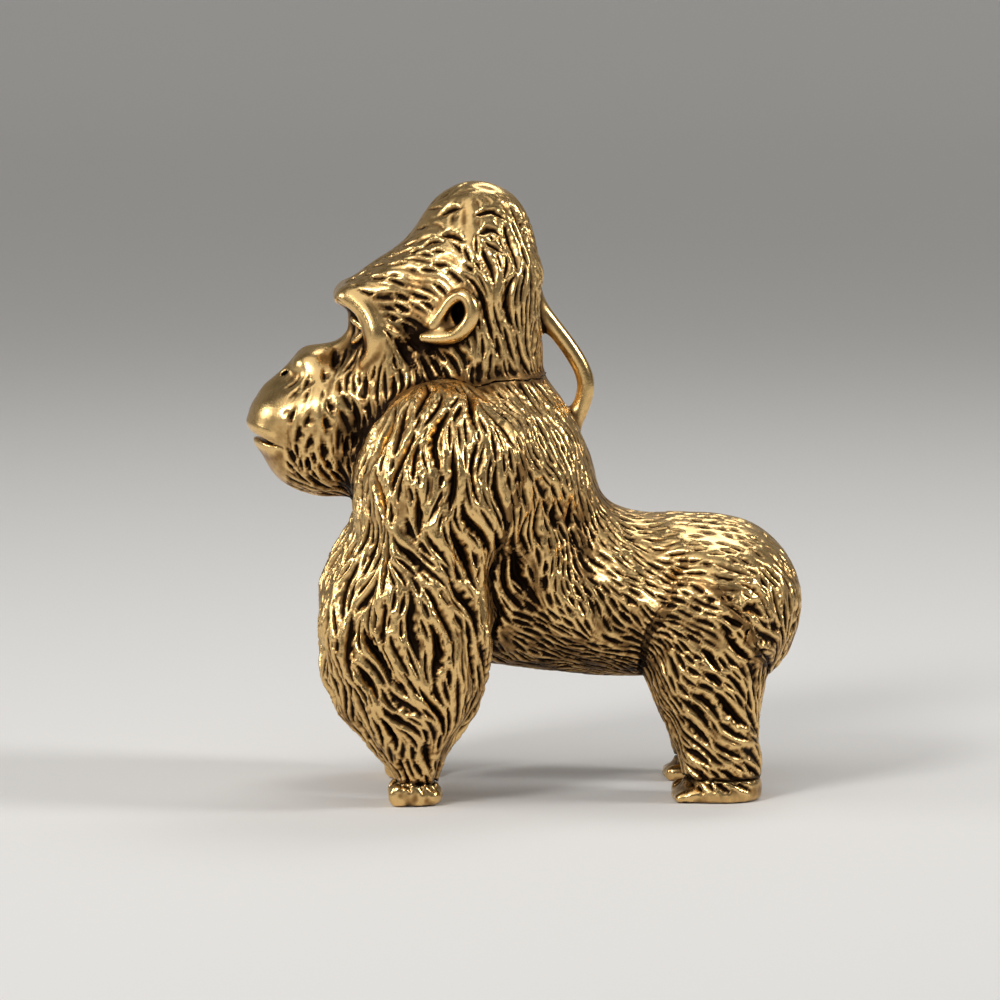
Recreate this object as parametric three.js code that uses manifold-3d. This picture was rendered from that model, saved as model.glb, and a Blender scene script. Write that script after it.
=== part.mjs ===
// Gorilla figurine: a small solid brass animal that stands on its knuckles and soles.
// It is cast in sections. Each section has a round spigot that is brazed into its neighbour's socket,
// and a wire loop behind the neck takes a key ring or a cord.
// Units are millimetres. +Z is up, the animal faces -Y, and +X is its left side.
import * as THREE from "three";
import { mergeVertices } from "three/addons/utils/BufferGeometryUtils.js";
import Module from "manifold-3d";

const wasm = await Module();
wasm.setup();

// Joints between sections: spread is across (X), reach is along (Y) and height is up (Z)
const NECK_REACH = -3.4;
const NECK_HEIGHT = 24.6;
const SHOULDER_SPREAD = 6.4;
const SHOULDER_REACH = -5.4;
const SHOULDER_HEIGHT = 18.6;
const ELBOW_SPREAD = 6.9;
const ELBOW_REACH = -7.0;
const ELBOW_HEIGHT = 9.7;
const WRIST_SPREAD = 5.8;
const WRIST_REACH = -6.3;
const WRIST_HEIGHT = 1.4;
const HIP_SPREAD = 4.0;
const HIP_REACH = 10.4;
const HIP_HEIGHT = 8.8;
const ANKLE_SPREAD = 4.5;
const ANKLE_REACH = 11.5;
const ANKLE_HEIGHT = 1.4;

// Torso
const CHEST_REACH = -3.6;
const CHEST_WIDTH = 14.4;
const CHEST_DEPTH = 12.2;
const CHEST_BOTTOM = 7.8;
const HUMP_REACH = -1.5;
const HUMP_WIDTH = 14.4;
const HUMP_DEPTH = 11.4;
const HUMP_BOTTOM = 11.0;
const BELLY_REACH = 3.2;
const BELLY_WIDTH = 12.4;
const BELLY_LENGTH = 13.0;
const BELLY_BOTTOM = 6.9;
const BACK_HEIGHT = 15.9;
const LOIN_REACH = 7.8;
const LOIN_WIDTH = 11.0;
const LOIN_LENGTH = 10.0;
const LOIN_BOTTOM = 7.4;
const RUMP_REACH = 11.9;
const RUMP_WIDTH = 12.0;
const RUMP_LENGTH = 8.2;
const RUMP_BOTTOM = 7.6;
const BUTTOCK_SPREAD = 2.9;
const BUTTOCK_REACH = 12.4;
const BUTTOCK_WIDTH = 6.2;
const BUTTOCK_LENGTH = 6.2;
const BUTTOCK_BOTTOM = 6.9;
const BUTTOCK_TOP = 13.7;

// Head, with its reaches and rises from the neck joint
const NAPE_REACH = 0.2;
const NAPE_RISE = 1.6;
const NAPE_WIDTH = 9.4;
const NAPE_DEPTH = 8.6;
const NAPE_HEIGHT = 8.0;
const SKULL_REACH = 0.3;
const SKULL_RISE = 4.8;
const SKULL_WIDTH = 9.4;
const SKULL_DEPTH = 9.0;
const SKULL_HEIGHT = 9.8;
const CREST_REACH = 0.7;
const CREST_RISE = 8.0;
const CREST_WIDTH = 5.4;
const CREST_DEPTH = 6.6;
const CREST_HEIGHT = 6.4;
const FOREHEAD_REACH = -4.4;
const FOREHEAD_RISE = 5.35;
const FOREHEAD_WIDTH = 7.0;
const FOREHEAD_LENGTH = 7.2;
const FOREHEAD_THICKNESS = 2.9;
const FOREHEAD_SLOPE = 34;
const FACE_REACH = -3.2;
const FACE_RISE = 3.4;
const FACE_WIDTH = 7.6;
const FACE_DEPTH = 5.4;
const FACE_HEIGHT = 6.0;
const BROW_REACH = -6.75;
const BROW_RISE = 4.35;
const BROW_SPREAD = 2.3;
const BROW_THICKNESS = 1.5;
const TEMPLE_SPREAD = 3.5;
const TEMPLE_REACH = -4.9;
const TEMPLE_RISE = 2.6;
const CHEEKBONE_SPREAD = 3.5;
const CHEEKBONE_REACH = -4.7;
const CHEEKBONE_RISE = 0.9;
const CHEEKBONE_THICKNESS = 1.5;
const CHEEK_REACH = -3.6;
const CHEEK_RISE = -0.8;
const CHEEK_WIDTH = 9.0;
const CHEEK_DEPTH = 7.4;
const CHEEK_HEIGHT = 8.6;
const THROAT_REACH = -4.0;
const THROAT_RISE = -2.4;
const THROAT_WIDTH = 8.2;
const THROAT_DEPTH = 8.0;
const THROAT_HEIGHT = 8.0;
const NOSE_REACH = -8.9;
const NOSE_RISE = 0.4;
const NOSE_WIDTH = 3.8;
const NOSE_LENGTH = 2.2;
const NOSE_HEIGHT = 1.8;
const BRIDGE_THICKNESS = 1.7;
const MUZZLE_REACH = -8.0;
const MUZZLE_RISE = -2.2;
const MUZZLE_WIDTH = 7.0;
const MUZZLE_LENGTH = 8.2;
const MUZZLE_HEIGHT = 5.6;
const MUZZLE_SLOPE = 22;
const LIP_REACH = -10.5;
const LIP_RISE = -2.6;
const LIP_WIDTH = 5.6;
const LIP_LENGTH = 4.4;
const LIP_HEIGHT = 4.0;
const JAW_REACH = -8.0;
const JAW_RISE = -4.3;
const JAW_WIDTH = 6.6;
const JAW_LENGTH = 7.6;
const JAW_HEIGHT = 6.0;
const MOUTH_REACH = -12.0;
const MOUTH_RISE = -3.8;
const MOUTH_WIDTH = 5.4;
const MOUTH_DROP = 31;
const MOUTH_OPENING = 0.3;
const MOUTH_DEPTH = 0.6;
const MOUTH_SIDES = 24;
const EYE_SPREAD = 1.7;
const EYE_REACH = -5.9;
const EYE_RISE = 2.4;
const EYE_DIAMETER = 1.3;
const NASION_REACH = -8.3;
const NASION_RISE = 2.7;
const NASION_WIDTH = 4.0;
const NASION_DEPTH = 3.4;
const NASION_HEIGHT = 1.8;
const SOCKET_REACH = -7.2;
const SOCKET_WIDTH = 2.7;
const SOCKET_DEPTH = 3.0;
const SOCKET_HEIGHT = 2.1;
const NOSTRIL_SPREAD = 0.85;
const NOSTRIL_DIAMETER = 0.9;
const EAR_SPREAD = 4.3;
const EAR_REACH = -1.0;
const EAR_RISE = 3.6;
const EAR_THICKNESS = 1.6;
const EAR_LENGTH = 2.4;
const EAR_HEIGHT = 3.5;
const EAR_LEAN = 32;
const EAR_RIM = 0.45;

// Arms and hands
const DELTOID_WIDTH = 7.4;
const DELTOID_DEPTH = 8.4;
const DELTOID_HEIGHT = 11.2;
const UPPER_ARM_DIAMETER = 7.3;
const FOREARM_WIDTH = 7.6;
const FOREARM_DEPTH = 10.2;
const FOREARM_HEIGHT = 12.4;
const CUFF_DIAMETER = 6.2;
const CUFF_HEIGHT = 5.8;
const BICEPS_HEIGHT = 12.6;
const WRIST_DIAMETER = 3.1;
const HAND_WIDTH = 3.4;
const HAND_DEPTH = 2.4;
const HAND_HEIGHT = 2.6;
const FINGERS = 4;
const FINGER_DIAMETER = 0.95;
const FINGER_LEAN = 0.75;
const THUMB_REACH = 0.9;

// Legs and feet
const THIGH_WIDTH = 7.2;
const THIGH_DEPTH = 6.8;
const THIGH_HEIGHT = 9.4;
const KNEE_REACH = 10.8;
const KNEE_HEIGHT = 6.2;
const KNEE_DIAMETER = 5.9;
const ANKLE_DIAMETER = 4.8;
const HEEL_DIAMETER = 4.5;
const SOLE_WIDTH = 4.2;
const SOLE_LENGTH = 4.8;
const SOLE_THICKNESS = 1.8;
const TOES = 5;
const TOE_DIAMETER = 0.95;
const TOE_REACH = 2.6;

// Coat: the main locks of the fur, each swaying by a share of its width from side to side
const LOCK_HEIGHT = 0.5;
const LOCK_SPACING = 4.0;
const LOCK_WAVE = 9.0;
const LOCK_SWAY = 0.16;
const ARM_LOCKS = 8;
const ARM_LOCK_PITCH = 120;
const FLANK_SLANT = 37;

// Spigots, in sockets with a clearance that the braze fills
const NECK_SPIGOT_DIAMETER = 4.4;
const NECK_SPIGOT_LENGTH = 5.0;
const SHOULDER_SPIGOT_DIAMETER = 3.6;
const SHOULDER_SPIGOT_LENGTH = 4.0;
const HIP_SPIGOT_DIAMETER = 2.4;
const HIP_SPIGOT_LENGTH = 3.8;
const WRIST_SPIGOT_DIAMETER = 1.4;
const ANKLE_SPIGOT_DIAMETER = 2.2;
const LIMB_SPIGOT_LENGTH = 1.8;
const CLEARANCE = 0.3;

// Hanging loop, with each end bedded in the casting that carries it
const LOOP_WIRE = 1.05;
const LOOP_BEDDING = 1.2;
const LOOP_TOP_REACH = 4.5;
const LOOP_TOP_RISE = 3.6;
const LOOP_FOOT_REACH = 6.1;
const LOOP_FOOT_RISE = -3.7;
const LOOP_BOW_REACH = 7.1;
const LOOP_BOW_RISE = -0.6;
const LOOP_SIDES = 10;
const LOOP_STEPS = 20;

// Seams between sections, soft fillets between masses, and the pitch of each surface's facets
const SEAM = 0.3;
const BODY_FILLET = 3.0;
const HEAD_FILLET = 0.9;
const LIMB_FILLET = 1.6;
const HAND_FILLET = 0.3;
const SOCKET_FILLET = 0.4;
const JOINT_FILLET = 1.0;
const TORSO_FACET = 1.15;
const HEAD_FACET = 0.82;
const ARM_FACET = 1.06;
const LEG_FACET = 1.25;
const HAND_FACET = 0.5;
const FOOT_FACET = 0.6;
const FACET_INSET = 0.05;
const BAR_SIDES = 20;
const EGG_SIDES = 12;
const EGG_RINGS = 8;
const PROBE = 0.05;
const WORKSPACE = 100;

// Finish
const BRASS = "#c59a4a";
const DARK_BRASS = "#a67c38";
const FUR_ROUGHNESS = 0.42;
const BARE_ROUGHNESS = 0.28;

const TURN = 2 * Math.PI;
const radians = THREE.MathUtils.degToRad;
const vec = (x, y, z) => new THREE.Vector3(x, y, z);

const NECK = vec(0, NECK_REACH, NECK_HEIGHT);
const SHOULDER = vec(SHOULDER_SPREAD, SHOULDER_REACH, SHOULDER_HEIGHT);
const ELBOW = vec(ELBOW_SPREAD, ELBOW_REACH, ELBOW_HEIGHT);
const WRIST = vec(WRIST_SPREAD, WRIST_REACH, WRIST_HEIGHT);
const HIP = vec(HIP_SPREAD, HIP_REACH, HIP_HEIGHT);
const ANKLE = vec(ANKLE_SPREAD, ANKLE_REACH, ANKLE_HEIGHT);

// A point given from the neck joint
const fromNeck = (spread, reach, rise) => NECK.clone().add(vec(spread, reach, rise));

// Sculpting: a field has a signed distance, negative inside, and a box that holds its surface

// An ellipsoid of full size [width, depth, height], tilted nose down by pitch
function ball(at, size, pitch = 0) {
  const [a, b, c] = size.map((full) => full / 2);
  const cos = Math.cos(pitch);
  const sin = Math.sin(pitch);
  const reach = Math.max(a, b, c);
  return {
    box: new THREE.Box3(at.clone().subScalar(reach), at.clone().addScalar(reach)),
    distance(p) {
      const x = p.x - at.x;
      const y = cos * (p.y - at.y) + sin * (p.z - at.z);
      const z = cos * (p.z - at.z) - sin * (p.y - at.y);
      const near = Math.hypot(x / a, y / b, z / c);
      const slope = Math.hypot(x / (a * a), y / (b * b), z / (c * c));
      return slope > 0 ? (near * (near - 1)) / slope : -Math.min(a, b, c);
    },
  };
}

// A round bar whose radius runs from one end to the other
function taper(from, to, startRadius, endRadius) {
  const axis = to.clone().sub(from);
  const reach = Math.max(startRadius, endRadius);
  const offset = vec(0, 0, 0);
  return {
    box: new THREE.Box3().setFromPoints([from, to]).expandByScalar(reach),
    distance(p) {
      const along = offset.copy(p).sub(from).dot(axis) / axis.lengthSq();
      const share = THREE.MathUtils.clamp(along, 0, 1);
      const radius = THREE.MathUtils.lerp(startRadius, endRadius, share);
      return offset.addScaledVector(axis, -share).length() - radius;
    },
  };
}

// The same form on both sides of the middle plane
function pair(field) {
  const flipped = vec(0, 0, 0);
  const box = field.box.clone();
  box.min.x = -box.max.x;
  return { box, distance: (p) => field.distance(flipped.set(Math.abs(p.x), p.y, p.z)) };
}

// Joins fields with a soft fillet of about that width
function blend(width, ...fields) {
  const box = new THREE.Box3();
  fields.forEach((field) => box.union(field.box));
  const join = (a, b) => {
    const overlap = Math.max(width - Math.abs(a - b), 0);
    return Math.min(a, b) - (overlap * overlap) / (4 * width);
  };
  return {
    box: box.expandByScalar(width / 4),
    distance: (p) => fields.map((field) => field.distance(p)).reduce(join),
  };
}

// What is left of a field once a hollow with a soft edge is taken out of it
function hollow(width, field, tool) {
  return {
    box: field.box,
    distance(p) {
      const a = field.distance(p);
      const b = -tool.distance(p);
      const overlap = Math.max(width - Math.abs(a - b), 0);
      return Math.max(a, b) + (overlap * overlap) / (4 * width);
    },
  };
}

// The section of a blended form that lies nearer to its own masses than to its neighbours',
// less half a seam. The parting surface runs in from the crease between them. Locks of fur stand
// out of the blended form, and not out of the parting surface.
function section(own, neighbours, locks = () => 0) {
  const form = blend(JOINT_FILLET, own, ...neighbours);
  const probe = vec(0, 0, 0);
  function parting(p, other) {
    const nearer = (q) => own.distance(q) - other.distance(q);
    const value = nearer(p);
    const slopes = AXES.map((axis) => {
      probe.copy(p)[axis] += PROBE;
      return (nearer(probe) - value) / PROBE;
    });
    return value / Math.max(Math.hypot(...slopes), PROBE);
  }
  return {
    box: own.box,
    distance: (p) =>
      neighbours.reduce(
        (inside, other) => Math.max(inside, parting(p, other) + SEAM / 2),
        form.distance(p) - locks(p),
      ),
  };
}

// The direction in which a field grows fastest
function slopeOf(field, p) {
  const value = field.distance(p);
  const step = (axis) => field.distance(p.clone().addScaledVector(axis, PROBE)) - value;
  return vec(step(vec(1, 0, 0)), step(vec(0, 1, 0)), step(vec(0, 0, 1))).normalize();
}

// The point that lies nearest to the tangent planes of a cell's crossings, so that edges stay crisp.
// The cell's box is a little inset, so that the points of two cells never meet.
function settle(field, crossings, cellBox) {
  const SETTLING_PASSES = 12;
  const planes = crossings.map((point) => ({ point, normal: slopeOf(field, point) }));
  const vertex = crossings.reduce((sum, c) => sum.add(c), vec(0, 0, 0)).divideScalar(crossings.length);
  for (let pass = 0; pass < SETTLING_PASSES; pass++) {
    const pull = vec(0, 0, 0);
    planes.forEach(({ point, normal }) =>
      pull.addScaledVector(normal, normal.dot(point) - normal.dot(vertex)),
    );
    vertex.addScaledVector(pull, 1 / planes.length);
  }
  return vertex.clamp(cellBox.min, cellBox.max);
}

// A grid cell's corners, whose numbers have a bit for each axis
const AXES = ["x", "y", "z"];
const AXIS_BITS = AXES.map((_, n) => 1 << n);
const cornerOf = (n) => AXIS_BITS.map((bit) => Math.sign(n & bit));
const CORNERS = Array.from({ length: 2 ** AXES.length }, (_, n) => cornerOf(n));

// Groups a cell's inside corners, given by number, by the cell's edges that join them
function cornerGroups(inside) {
  return inside.reduce((groups, corner) => {
    const meets = (group) => group.some((other) => AXIS_BITS.includes(corner ^ other));
    const apart = groups.filter((group) => !meets(group));
    return [...apart, [corner, ...groups.filter(meets).flat()]];
  }, []);
}

// Polygonises a field: a vertex for each sheet of the surface in a grid cell, a quad for each crossed edge
function polygonise(field, cell) {
  const low = field.box.min.clone().divideScalar(cell).floor().subScalar(2);
  const high = field.box.max.clone().divideScalar(cell).ceil().addScalar(2);
  const count = high.clone().sub(low).addScalar(1).toArray();
  const stride = [1, count[0], count[0] * count[1]];
  const node = (i, j, k) => i + stride[1] * j + stride[2] * k;
  const point = (i, j, k) => vec(i, j, k).add(low).multiplyScalar(cell);
  const values = new Float32Array(count[0] * count[1] * count[2]);
  for (let k = 0; k < count[2]; k++)
    for (let j = 0; j < count[1]; j++)
      for (let i = 0; i < count[0]; i++) values[node(i, j, k)] = field.distance(point(i, j, k));

  const vertexOf = new Map();
  const positions = [];
  const key = (place, corner) => CORNERS.length * place + corner;
  for (let k = 0; k < count[2] - 1; k++)
    for (let j = 0; j < count[1] - 1; j++)
      for (let i = 0; i < count[0] - 1; i++) {
        const place = node(i, j, k);
        const level = CORNERS.map((corner) => values[place + node(...corner)]);
        const at = ([x, y, z]) => point(i + x, j + y, k + z);
        const inside = [...CORNERS.keys()].filter((n) => level[n] < 0);
        if (inside.length === CORNERS.length) continue;
        const cellBox = new THREE.Box3(at(CORNERS.at(0)), at(CORNERS.at(-1)));
        cellBox.expandByScalar(-cell * FACET_INSET);
        for (const group of cornerGroups(inside)) {
          const crossings = [];
          for (const n of group)
            for (const m of AXIS_BITS.map((bit) => n ^ bit)) {
              if (level[m] < 0) continue;
              crossings.push(at(CORNERS[n]).lerp(at(CORNERS[m]), level[n] / (level[n] - level[m])));
            }
          group.forEach((n) => vertexOf.set(key(place, n), positions.length / 3));
          positions.push(...settle(field, crossings, cellBox).toArray());
        }
      }

  const triangles = [];
  const around = [[0, 0], [1, 0], [1, 1], [0, 1]];
  const apart = (a, b) => Math.hypot(...[0, 1, 2].map((n) => positions[3 * a + n] - positions[3 * b + n]));
  for (let n = 0; n < values.length; n++)
    for (let axis = 0; axis < 3; axis++) {
      const next = n + stride[axis];
      if (next >= values.length || values[n] < 0 === values[next] < 0) continue;
      const [u, v] = [(axis + 1) % 3, (axis + 2) % 3];
      const inner = values[n] < 0 ? 0 : AXIS_BITS[axis];
      const quad = around.map(([a, b]) => {
        const corner = inner + a * AXIS_BITS[u] + b * AXIS_BITS[v];
        return vertexOf.get(key(n - a * stride[u] - b * stride[v], corner));
      });
      if (values[n] >= 0) quad.reverse();
      const [a, b, c, d] = quad;
      triangles.push(...(apart(a, c) < apart(b, d) ? [a, b, c, a, c, d] : [a, b, d, b, c, d]));
    }
  return { positions: new Float32Array(positions), triangles: new Uint32Array(triangles) };
}

// Solids: joins and cuts of closed meshes

function solidOf(vertProperties, triVerts) {
  return new wasm.Manifold(new wasm.Mesh({ numProp: 3, vertProperties, triVerts }));
}

function sculpt(field, cell) {
  const { positions, triangles } = polygonise(field, cell);
  return solidOf(positions, triangles);
}

// A three.js geometry, placed, as a solid
function shape(geometry, matrix = new THREE.Matrix4()) {
  const bare = geometry.clone().applyMatrix4(matrix);
  bare.deleteAttribute("normal");
  bare.deleteAttribute("uv");
  const merged = mergeVertices(bare);
  return solidOf(merged.attributes.position.array, new Uint32Array(merged.index.array));
}

function geometryOf(solid) {
  const { vertProperties, triVerts } = solid.getMesh();
  const geometry = new THREE.BufferGeometry();
  geometry.setAttribute("position", new THREE.BufferAttribute(vertProperties, 3));
  geometry.setIndex(new THREE.BufferAttribute(triVerts, 1));
  return geometry;
}

// Masses of the animal

function torsoMass() {
  const mass = (reach, bottom, top, width, length) =>
    ball(vec(0, reach, (bottom + top) / 2), [width, length, top - bottom]);
  const buttock = ball(
    vec(BUTTOCK_SPREAD, BUTTOCK_REACH, (BUTTOCK_BOTTOM + BUTTOCK_TOP) / 2),
    [BUTTOCK_WIDTH, BUTTOCK_LENGTH, BUTTOCK_TOP - BUTTOCK_BOTTOM],
  );
  return blend(
    BODY_FILLET,
    mass(CHEST_REACH, CHEST_BOTTOM, NECK_HEIGHT, CHEST_WIDTH, CHEST_DEPTH),
    mass(HUMP_REACH, HUMP_BOTTOM, NECK_HEIGHT, HUMP_WIDTH, HUMP_DEPTH),
    mass(BELLY_REACH, BELLY_BOTTOM, BACK_HEIGHT, BELLY_WIDTH, BELLY_LENGTH),
    mass(LOIN_REACH, LOIN_BOTTOM, BACK_HEIGHT, LOIN_WIDTH, LOIN_LENGTH),
    mass(RUMP_REACH, RUMP_BOTTOM, BACK_HEIGHT, RUMP_WIDTH, RUMP_LENGTH),
    pair(buttock),
  );
}

// Skull, sagittal crest, sloping forehead and neck
function craniumMass() {
  return [
    ball(fromNeck(0, NAPE_REACH, NAPE_RISE), [NAPE_WIDTH, NAPE_DEPTH, NAPE_HEIGHT]),
    ball(fromNeck(0, SKULL_REACH, SKULL_RISE), [SKULL_WIDTH, SKULL_DEPTH, SKULL_HEIGHT]),
    ball(fromNeck(0, CREST_REACH, CREST_RISE), [CREST_WIDTH, CREST_DEPTH, CREST_HEIGHT]),
    ball(
      fromNeck(0, FOREHEAD_REACH, FOREHEAD_RISE),
      [FOREHEAD_WIDTH, FOREHEAD_LENGTH, FOREHEAD_THICKNESS],
      radians(FOREHEAD_SLOPE),
    ),
    ball(fromNeck(0, FACE_REACH, FACE_RISE), [FACE_WIDTH, FACE_DEPTH, FACE_HEIGHT]),
    ball(fromNeck(0, CHEEK_REACH, CHEEK_RISE), [CHEEK_WIDTH, CHEEK_DEPTH, CHEEK_HEIGHT]),
    ball(fromNeck(0, THROAT_REACH, THROAT_RISE), [THROAT_WIDTH, THROAT_DEPTH, THROAT_HEIGHT]),
  ];
}

// The brow ridge, which turns down round the outside of each eye into the cheekbone
function browMass() {
  const brow = BROW_THICKNESS / 2;
  const bone = CHEEKBONE_THICKNESS / 2;
  const middle = fromNeck(0, BROW_REACH, BROW_RISE);
  const corner = fromNeck(BROW_SPREAD, BROW_REACH, BROW_RISE);
  const temple = fromNeck(TEMPLE_SPREAD, TEMPLE_REACH, TEMPLE_RISE);
  const cheekbone = fromNeck(CHEEKBONE_SPREAD, CHEEKBONE_REACH, CHEEKBONE_RISE);
  return [
    pair(taper(middle, corner, brow, brow)),
    pair(taper(corner, temple, brow, bone)),
    pair(taper(temple, cheekbone, bone, bone)),
  ];
}

function muzzleMass() {
  const slope = radians(MUZZLE_SLOPE);
  const nose = fromNeck(0, NOSE_REACH, NOSE_RISE);
  const nasion = fromNeck(0, EYE_REACH, EYE_RISE);
  return [
    ball(fromNeck(0, MUZZLE_REACH, MUZZLE_RISE), [MUZZLE_WIDTH, MUZZLE_LENGTH, MUZZLE_HEIGHT], slope),
    ball(fromNeck(0, LIP_REACH, LIP_RISE), [LIP_WIDTH, LIP_LENGTH, LIP_HEIGHT], slope),
    ball(fromNeck(0, JAW_REACH, JAW_RISE), [JAW_WIDTH, JAW_LENGTH, JAW_HEIGHT]),
    ball(nose, [NOSE_WIDTH, NOSE_LENGTH, NOSE_HEIGHT], slope),
    taper(nasion, nose, BRIDGE_THICKNESS / 2, BRIDGE_THICKNESS / 2),
  ];
}

function headMass() {
  const solid = blend(HEAD_FILLET, ...craniumMass(), ...browMass(), ...muzzleMass());
  const socket = ball(
    fromNeck(EYE_SPREAD, SOCKET_REACH, EYE_RISE),
    [SOCKET_WIDTH, SOCKET_DEPTH, SOCKET_HEIGHT],
  );
  const notch = ball(fromNeck(0, NASION_REACH, NASION_RISE), [NASION_WIDTH, NASION_DEPTH, NASION_HEIGHT]);
  return hollow(SOCKET_FILLET, hollow(SOCKET_FILLET, solid, pair(socket)), notch);
}

function armMass() {
  const biceps = vec(ELBOW_SPREAD, (SHOULDER_REACH + ELBOW_REACH) / 2, BICEPS_HEIGHT);
  const cuff = vec(ELBOW_SPREAD, (ELBOW_REACH + WRIST_REACH) / 2, CUFF_HEIGHT);
  return blend(
    LIMB_FILLET,
    ball(SHOULDER, [DELTOID_WIDTH, DELTOID_DEPTH, DELTOID_HEIGHT]),
    taper(SHOULDER, biceps, UPPER_ARM_DIAMETER / 2, UPPER_ARM_DIAMETER / 2),
    ball(ELBOW, [FOREARM_WIDTH, FOREARM_DEPTH, FOREARM_HEIGHT]),
    taper(cuff, WRIST, CUFF_DIAMETER / 2, WRIST_DIAMETER / 2),
  );
}

// A closed fist that stands on its knuckles, with the thumb at the back
function handMass() {
  const radius = FINGER_DIAMETER / 2;
  const pitch = (HAND_WIDTH - FINGER_DIAMETER) / (FINGERS - 1);
  const front = WRIST_REACH - HAND_DEPTH / 2;
  const fingers = Array.from({ length: FINGERS }, (_, n) => {
    const x = WRIST_SPREAD + (n - (FINGERS - 1) / 2) * pitch;
    return taper(vec(x, front + FINGER_LEAN, WRIST_HEIGHT), vec(x, front, radius / 2), radius, radius);
  });
  const palm = ball(
    vec(WRIST_SPREAD, WRIST_REACH, WRIST_HEIGHT / 2),
    [HAND_WIDTH, HAND_DEPTH, HAND_HEIGHT],
  );
  const back = WRIST_REACH + THUMB_REACH;
  const thumb = taper(
    vec(WRIST_SPREAD - HAND_WIDTH / 4, back, radius),
    vec(WRIST_SPREAD + HAND_WIDTH / 4, back, radius),
    radius,
    radius,
  );
  return blend(HAND_FILLET, palm, thumb, ...fingers);
}

function legMass() {
  const knee = vec((HIP_SPREAD + ANKLE_SPREAD) / 2, KNEE_REACH, KNEE_HEIGHT);
  return blend(
    LIMB_FILLET,
    ball(HIP, [THIGH_WIDTH, THIGH_DEPTH, THIGH_HEIGHT]),
    taper(knee, ANKLE, KNEE_DIAMETER / 2, ANKLE_DIAMETER / 2),
  );
}

// A flat sole under the heel, with a row of toes along its front edge
function footMass() {
  const radius = TOE_DIAMETER / 2;
  const pitch = (SOLE_WIDTH - TOE_DIAMETER) / (TOES - 1);
  const toes = Array.from({ length: TOES }, (_, n) => {
    const x = ANKLE_SPREAD + (n - (TOES - 1) / 2) * pitch;
    return taper(vec(x, ANKLE_REACH, radius), vec(x, ANKLE_REACH - TOE_REACH, radius / 2), radius, radius);
  });
  const heel = taper(vec(ANKLE_SPREAD, ANKLE_REACH, 0), ANKLE, HEEL_DIAMETER / 2, HEEL_DIAMETER / 2);
  const sole = ball(
    vec(ANKLE_SPREAD, ANKLE_REACH - TOE_REACH / 4, 0),
    [SOLE_WIDTH, SOLE_LENGTH, SOLE_THICKNESS],
  );
  return blend(HAND_FILLET, heel, sole, ...toes);
}

// Locks of the coat

// How far a row of locks stands out of the mean surface, by the number of locks along the row
const lockRow = (locks, height) => (height / 2) * Math.sin(TURN * locks);
const sway = (along) => LOCK_SWAY * Math.sin((TURN * along) / LOCK_WAVE);

// Locks hang down round the arm and wind slowly back, and they thin out towards its axis
function armLocks(p) {
  const across = p.x - ELBOW_SPREAD;
  const along = p.y - (SHOULDER_REACH + ELBOW_REACH) / 2;
  const turns = Math.atan2(along, across) / TURN + p.z / ARM_LOCK_PITCH;
  const share = Math.min(1, Math.hypot(across, along) / (FOREARM_WIDTH / 2));
  return lockRow(ARM_LOCKS * turns + sway(p.z), LOCK_HEIGHT * share);
}

// Locks slant down and back along the flanks, and fade out on the back and under the belly
function flankLocks(p) {
  const slant = radians(FLANK_SLANT);
  const down = p.y * Math.sin(slant) - p.z * Math.cos(slant);
  const across = p.y * Math.cos(slant) + p.z * Math.sin(slant);
  const share = Math.min(1, Math.abs(p.x) / (BELLY_WIDTH / 2));
  return lockRow(across / LOCK_SPACING + sway(down), LOCK_HEIGHT * share);
}

// Tools that cut and fit the castings

// Everything below a height, or above it
const below = (height) => slab(height - WORKSPACE / 2);
const above = (height) => slab(height + WORKSPACE / 2);

function slab(middle) {
  const box = new THREE.BoxGeometry(WORKSPACE, WORKSPACE, WORKSPACE);
  return shape(box, new THREE.Matrix4().makeTranslation(0, 0, middle));
}

// A round bar between two points
function bar(from, to, diameter) {
  const axis = to.clone().sub(from);
  const rod = new THREE.CylinderGeometry(diameter / 2, diameter / 2, axis.length(), BAR_SIDES);
  const turn = new THREE.Quaternion().setFromUnitVectors(vec(0, 1, 0), axis.clone().normalize());
  const middle = from.clone().add(to).divideScalar(2);
  return shape(rod, new THREE.Matrix4().compose(middle, turn, vec(1, 1, 1)));
}

// A spigot, and the socket that it enters with a clearance at its side and its end
function spigotJoint(root, end, diameter) {
  const past = end.clone().sub(root).setLength(CLEARANCE).add(end);
  return { spigot: bar(root, end, diameter), socket: bar(root, past, diameter + 2 * CLEARANCE) };
}

// An egg of full size [width, depth, height]
function egg(at, size, turn = new THREE.Quaternion()) {
  const sphere = new THREE.SphereGeometry(1 / 2, EGG_SIDES, EGG_RINGS);
  return shape(sphere, new THREE.Matrix4().compose(at, turn, vec(...size)));
}

// The same tool on the left and on the right of the middle plane
const SIDES = [1, -1];
const both = (make) => make(SIDES[0]).add(make(SIDES[1]));
const onSide = (side, point) => vec(side * point.x, point.y, point.z);

function neckJoint() {
  const half = vec(0, 0, NECK_SPIGOT_LENGTH / 2);
  return spigotJoint(NECK.clone().add(half), NECK.clone().sub(half), NECK_SPIGOT_DIAMETER);
}

function shoulderJoint(side) {
  const end = SHOULDER.clone().sub(vec(SHOULDER_SPIGOT_LENGTH, 0, 0));
  return spigotJoint(onSide(side, SHOULDER), onSide(side, end), SHOULDER_SPIGOT_DIAMETER);
}

function hipJoint(side) {
  const end = HIP.clone().add(vec(0, 0, HIP_SPIGOT_LENGTH));
  return spigotJoint(onSide(side, HIP), onSide(side, end), HIP_SPIGOT_DIAMETER);
}

function wristJoint() {
  const root = vec(WRIST_SPREAD, WRIST_REACH, WRIST_HEIGHT / 2);
  return spigotJoint(root, WRIST.clone().add(vec(0, 0, LIMB_SPIGOT_LENGTH)), WRIST_SPIGOT_DIAMETER);
}

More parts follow.
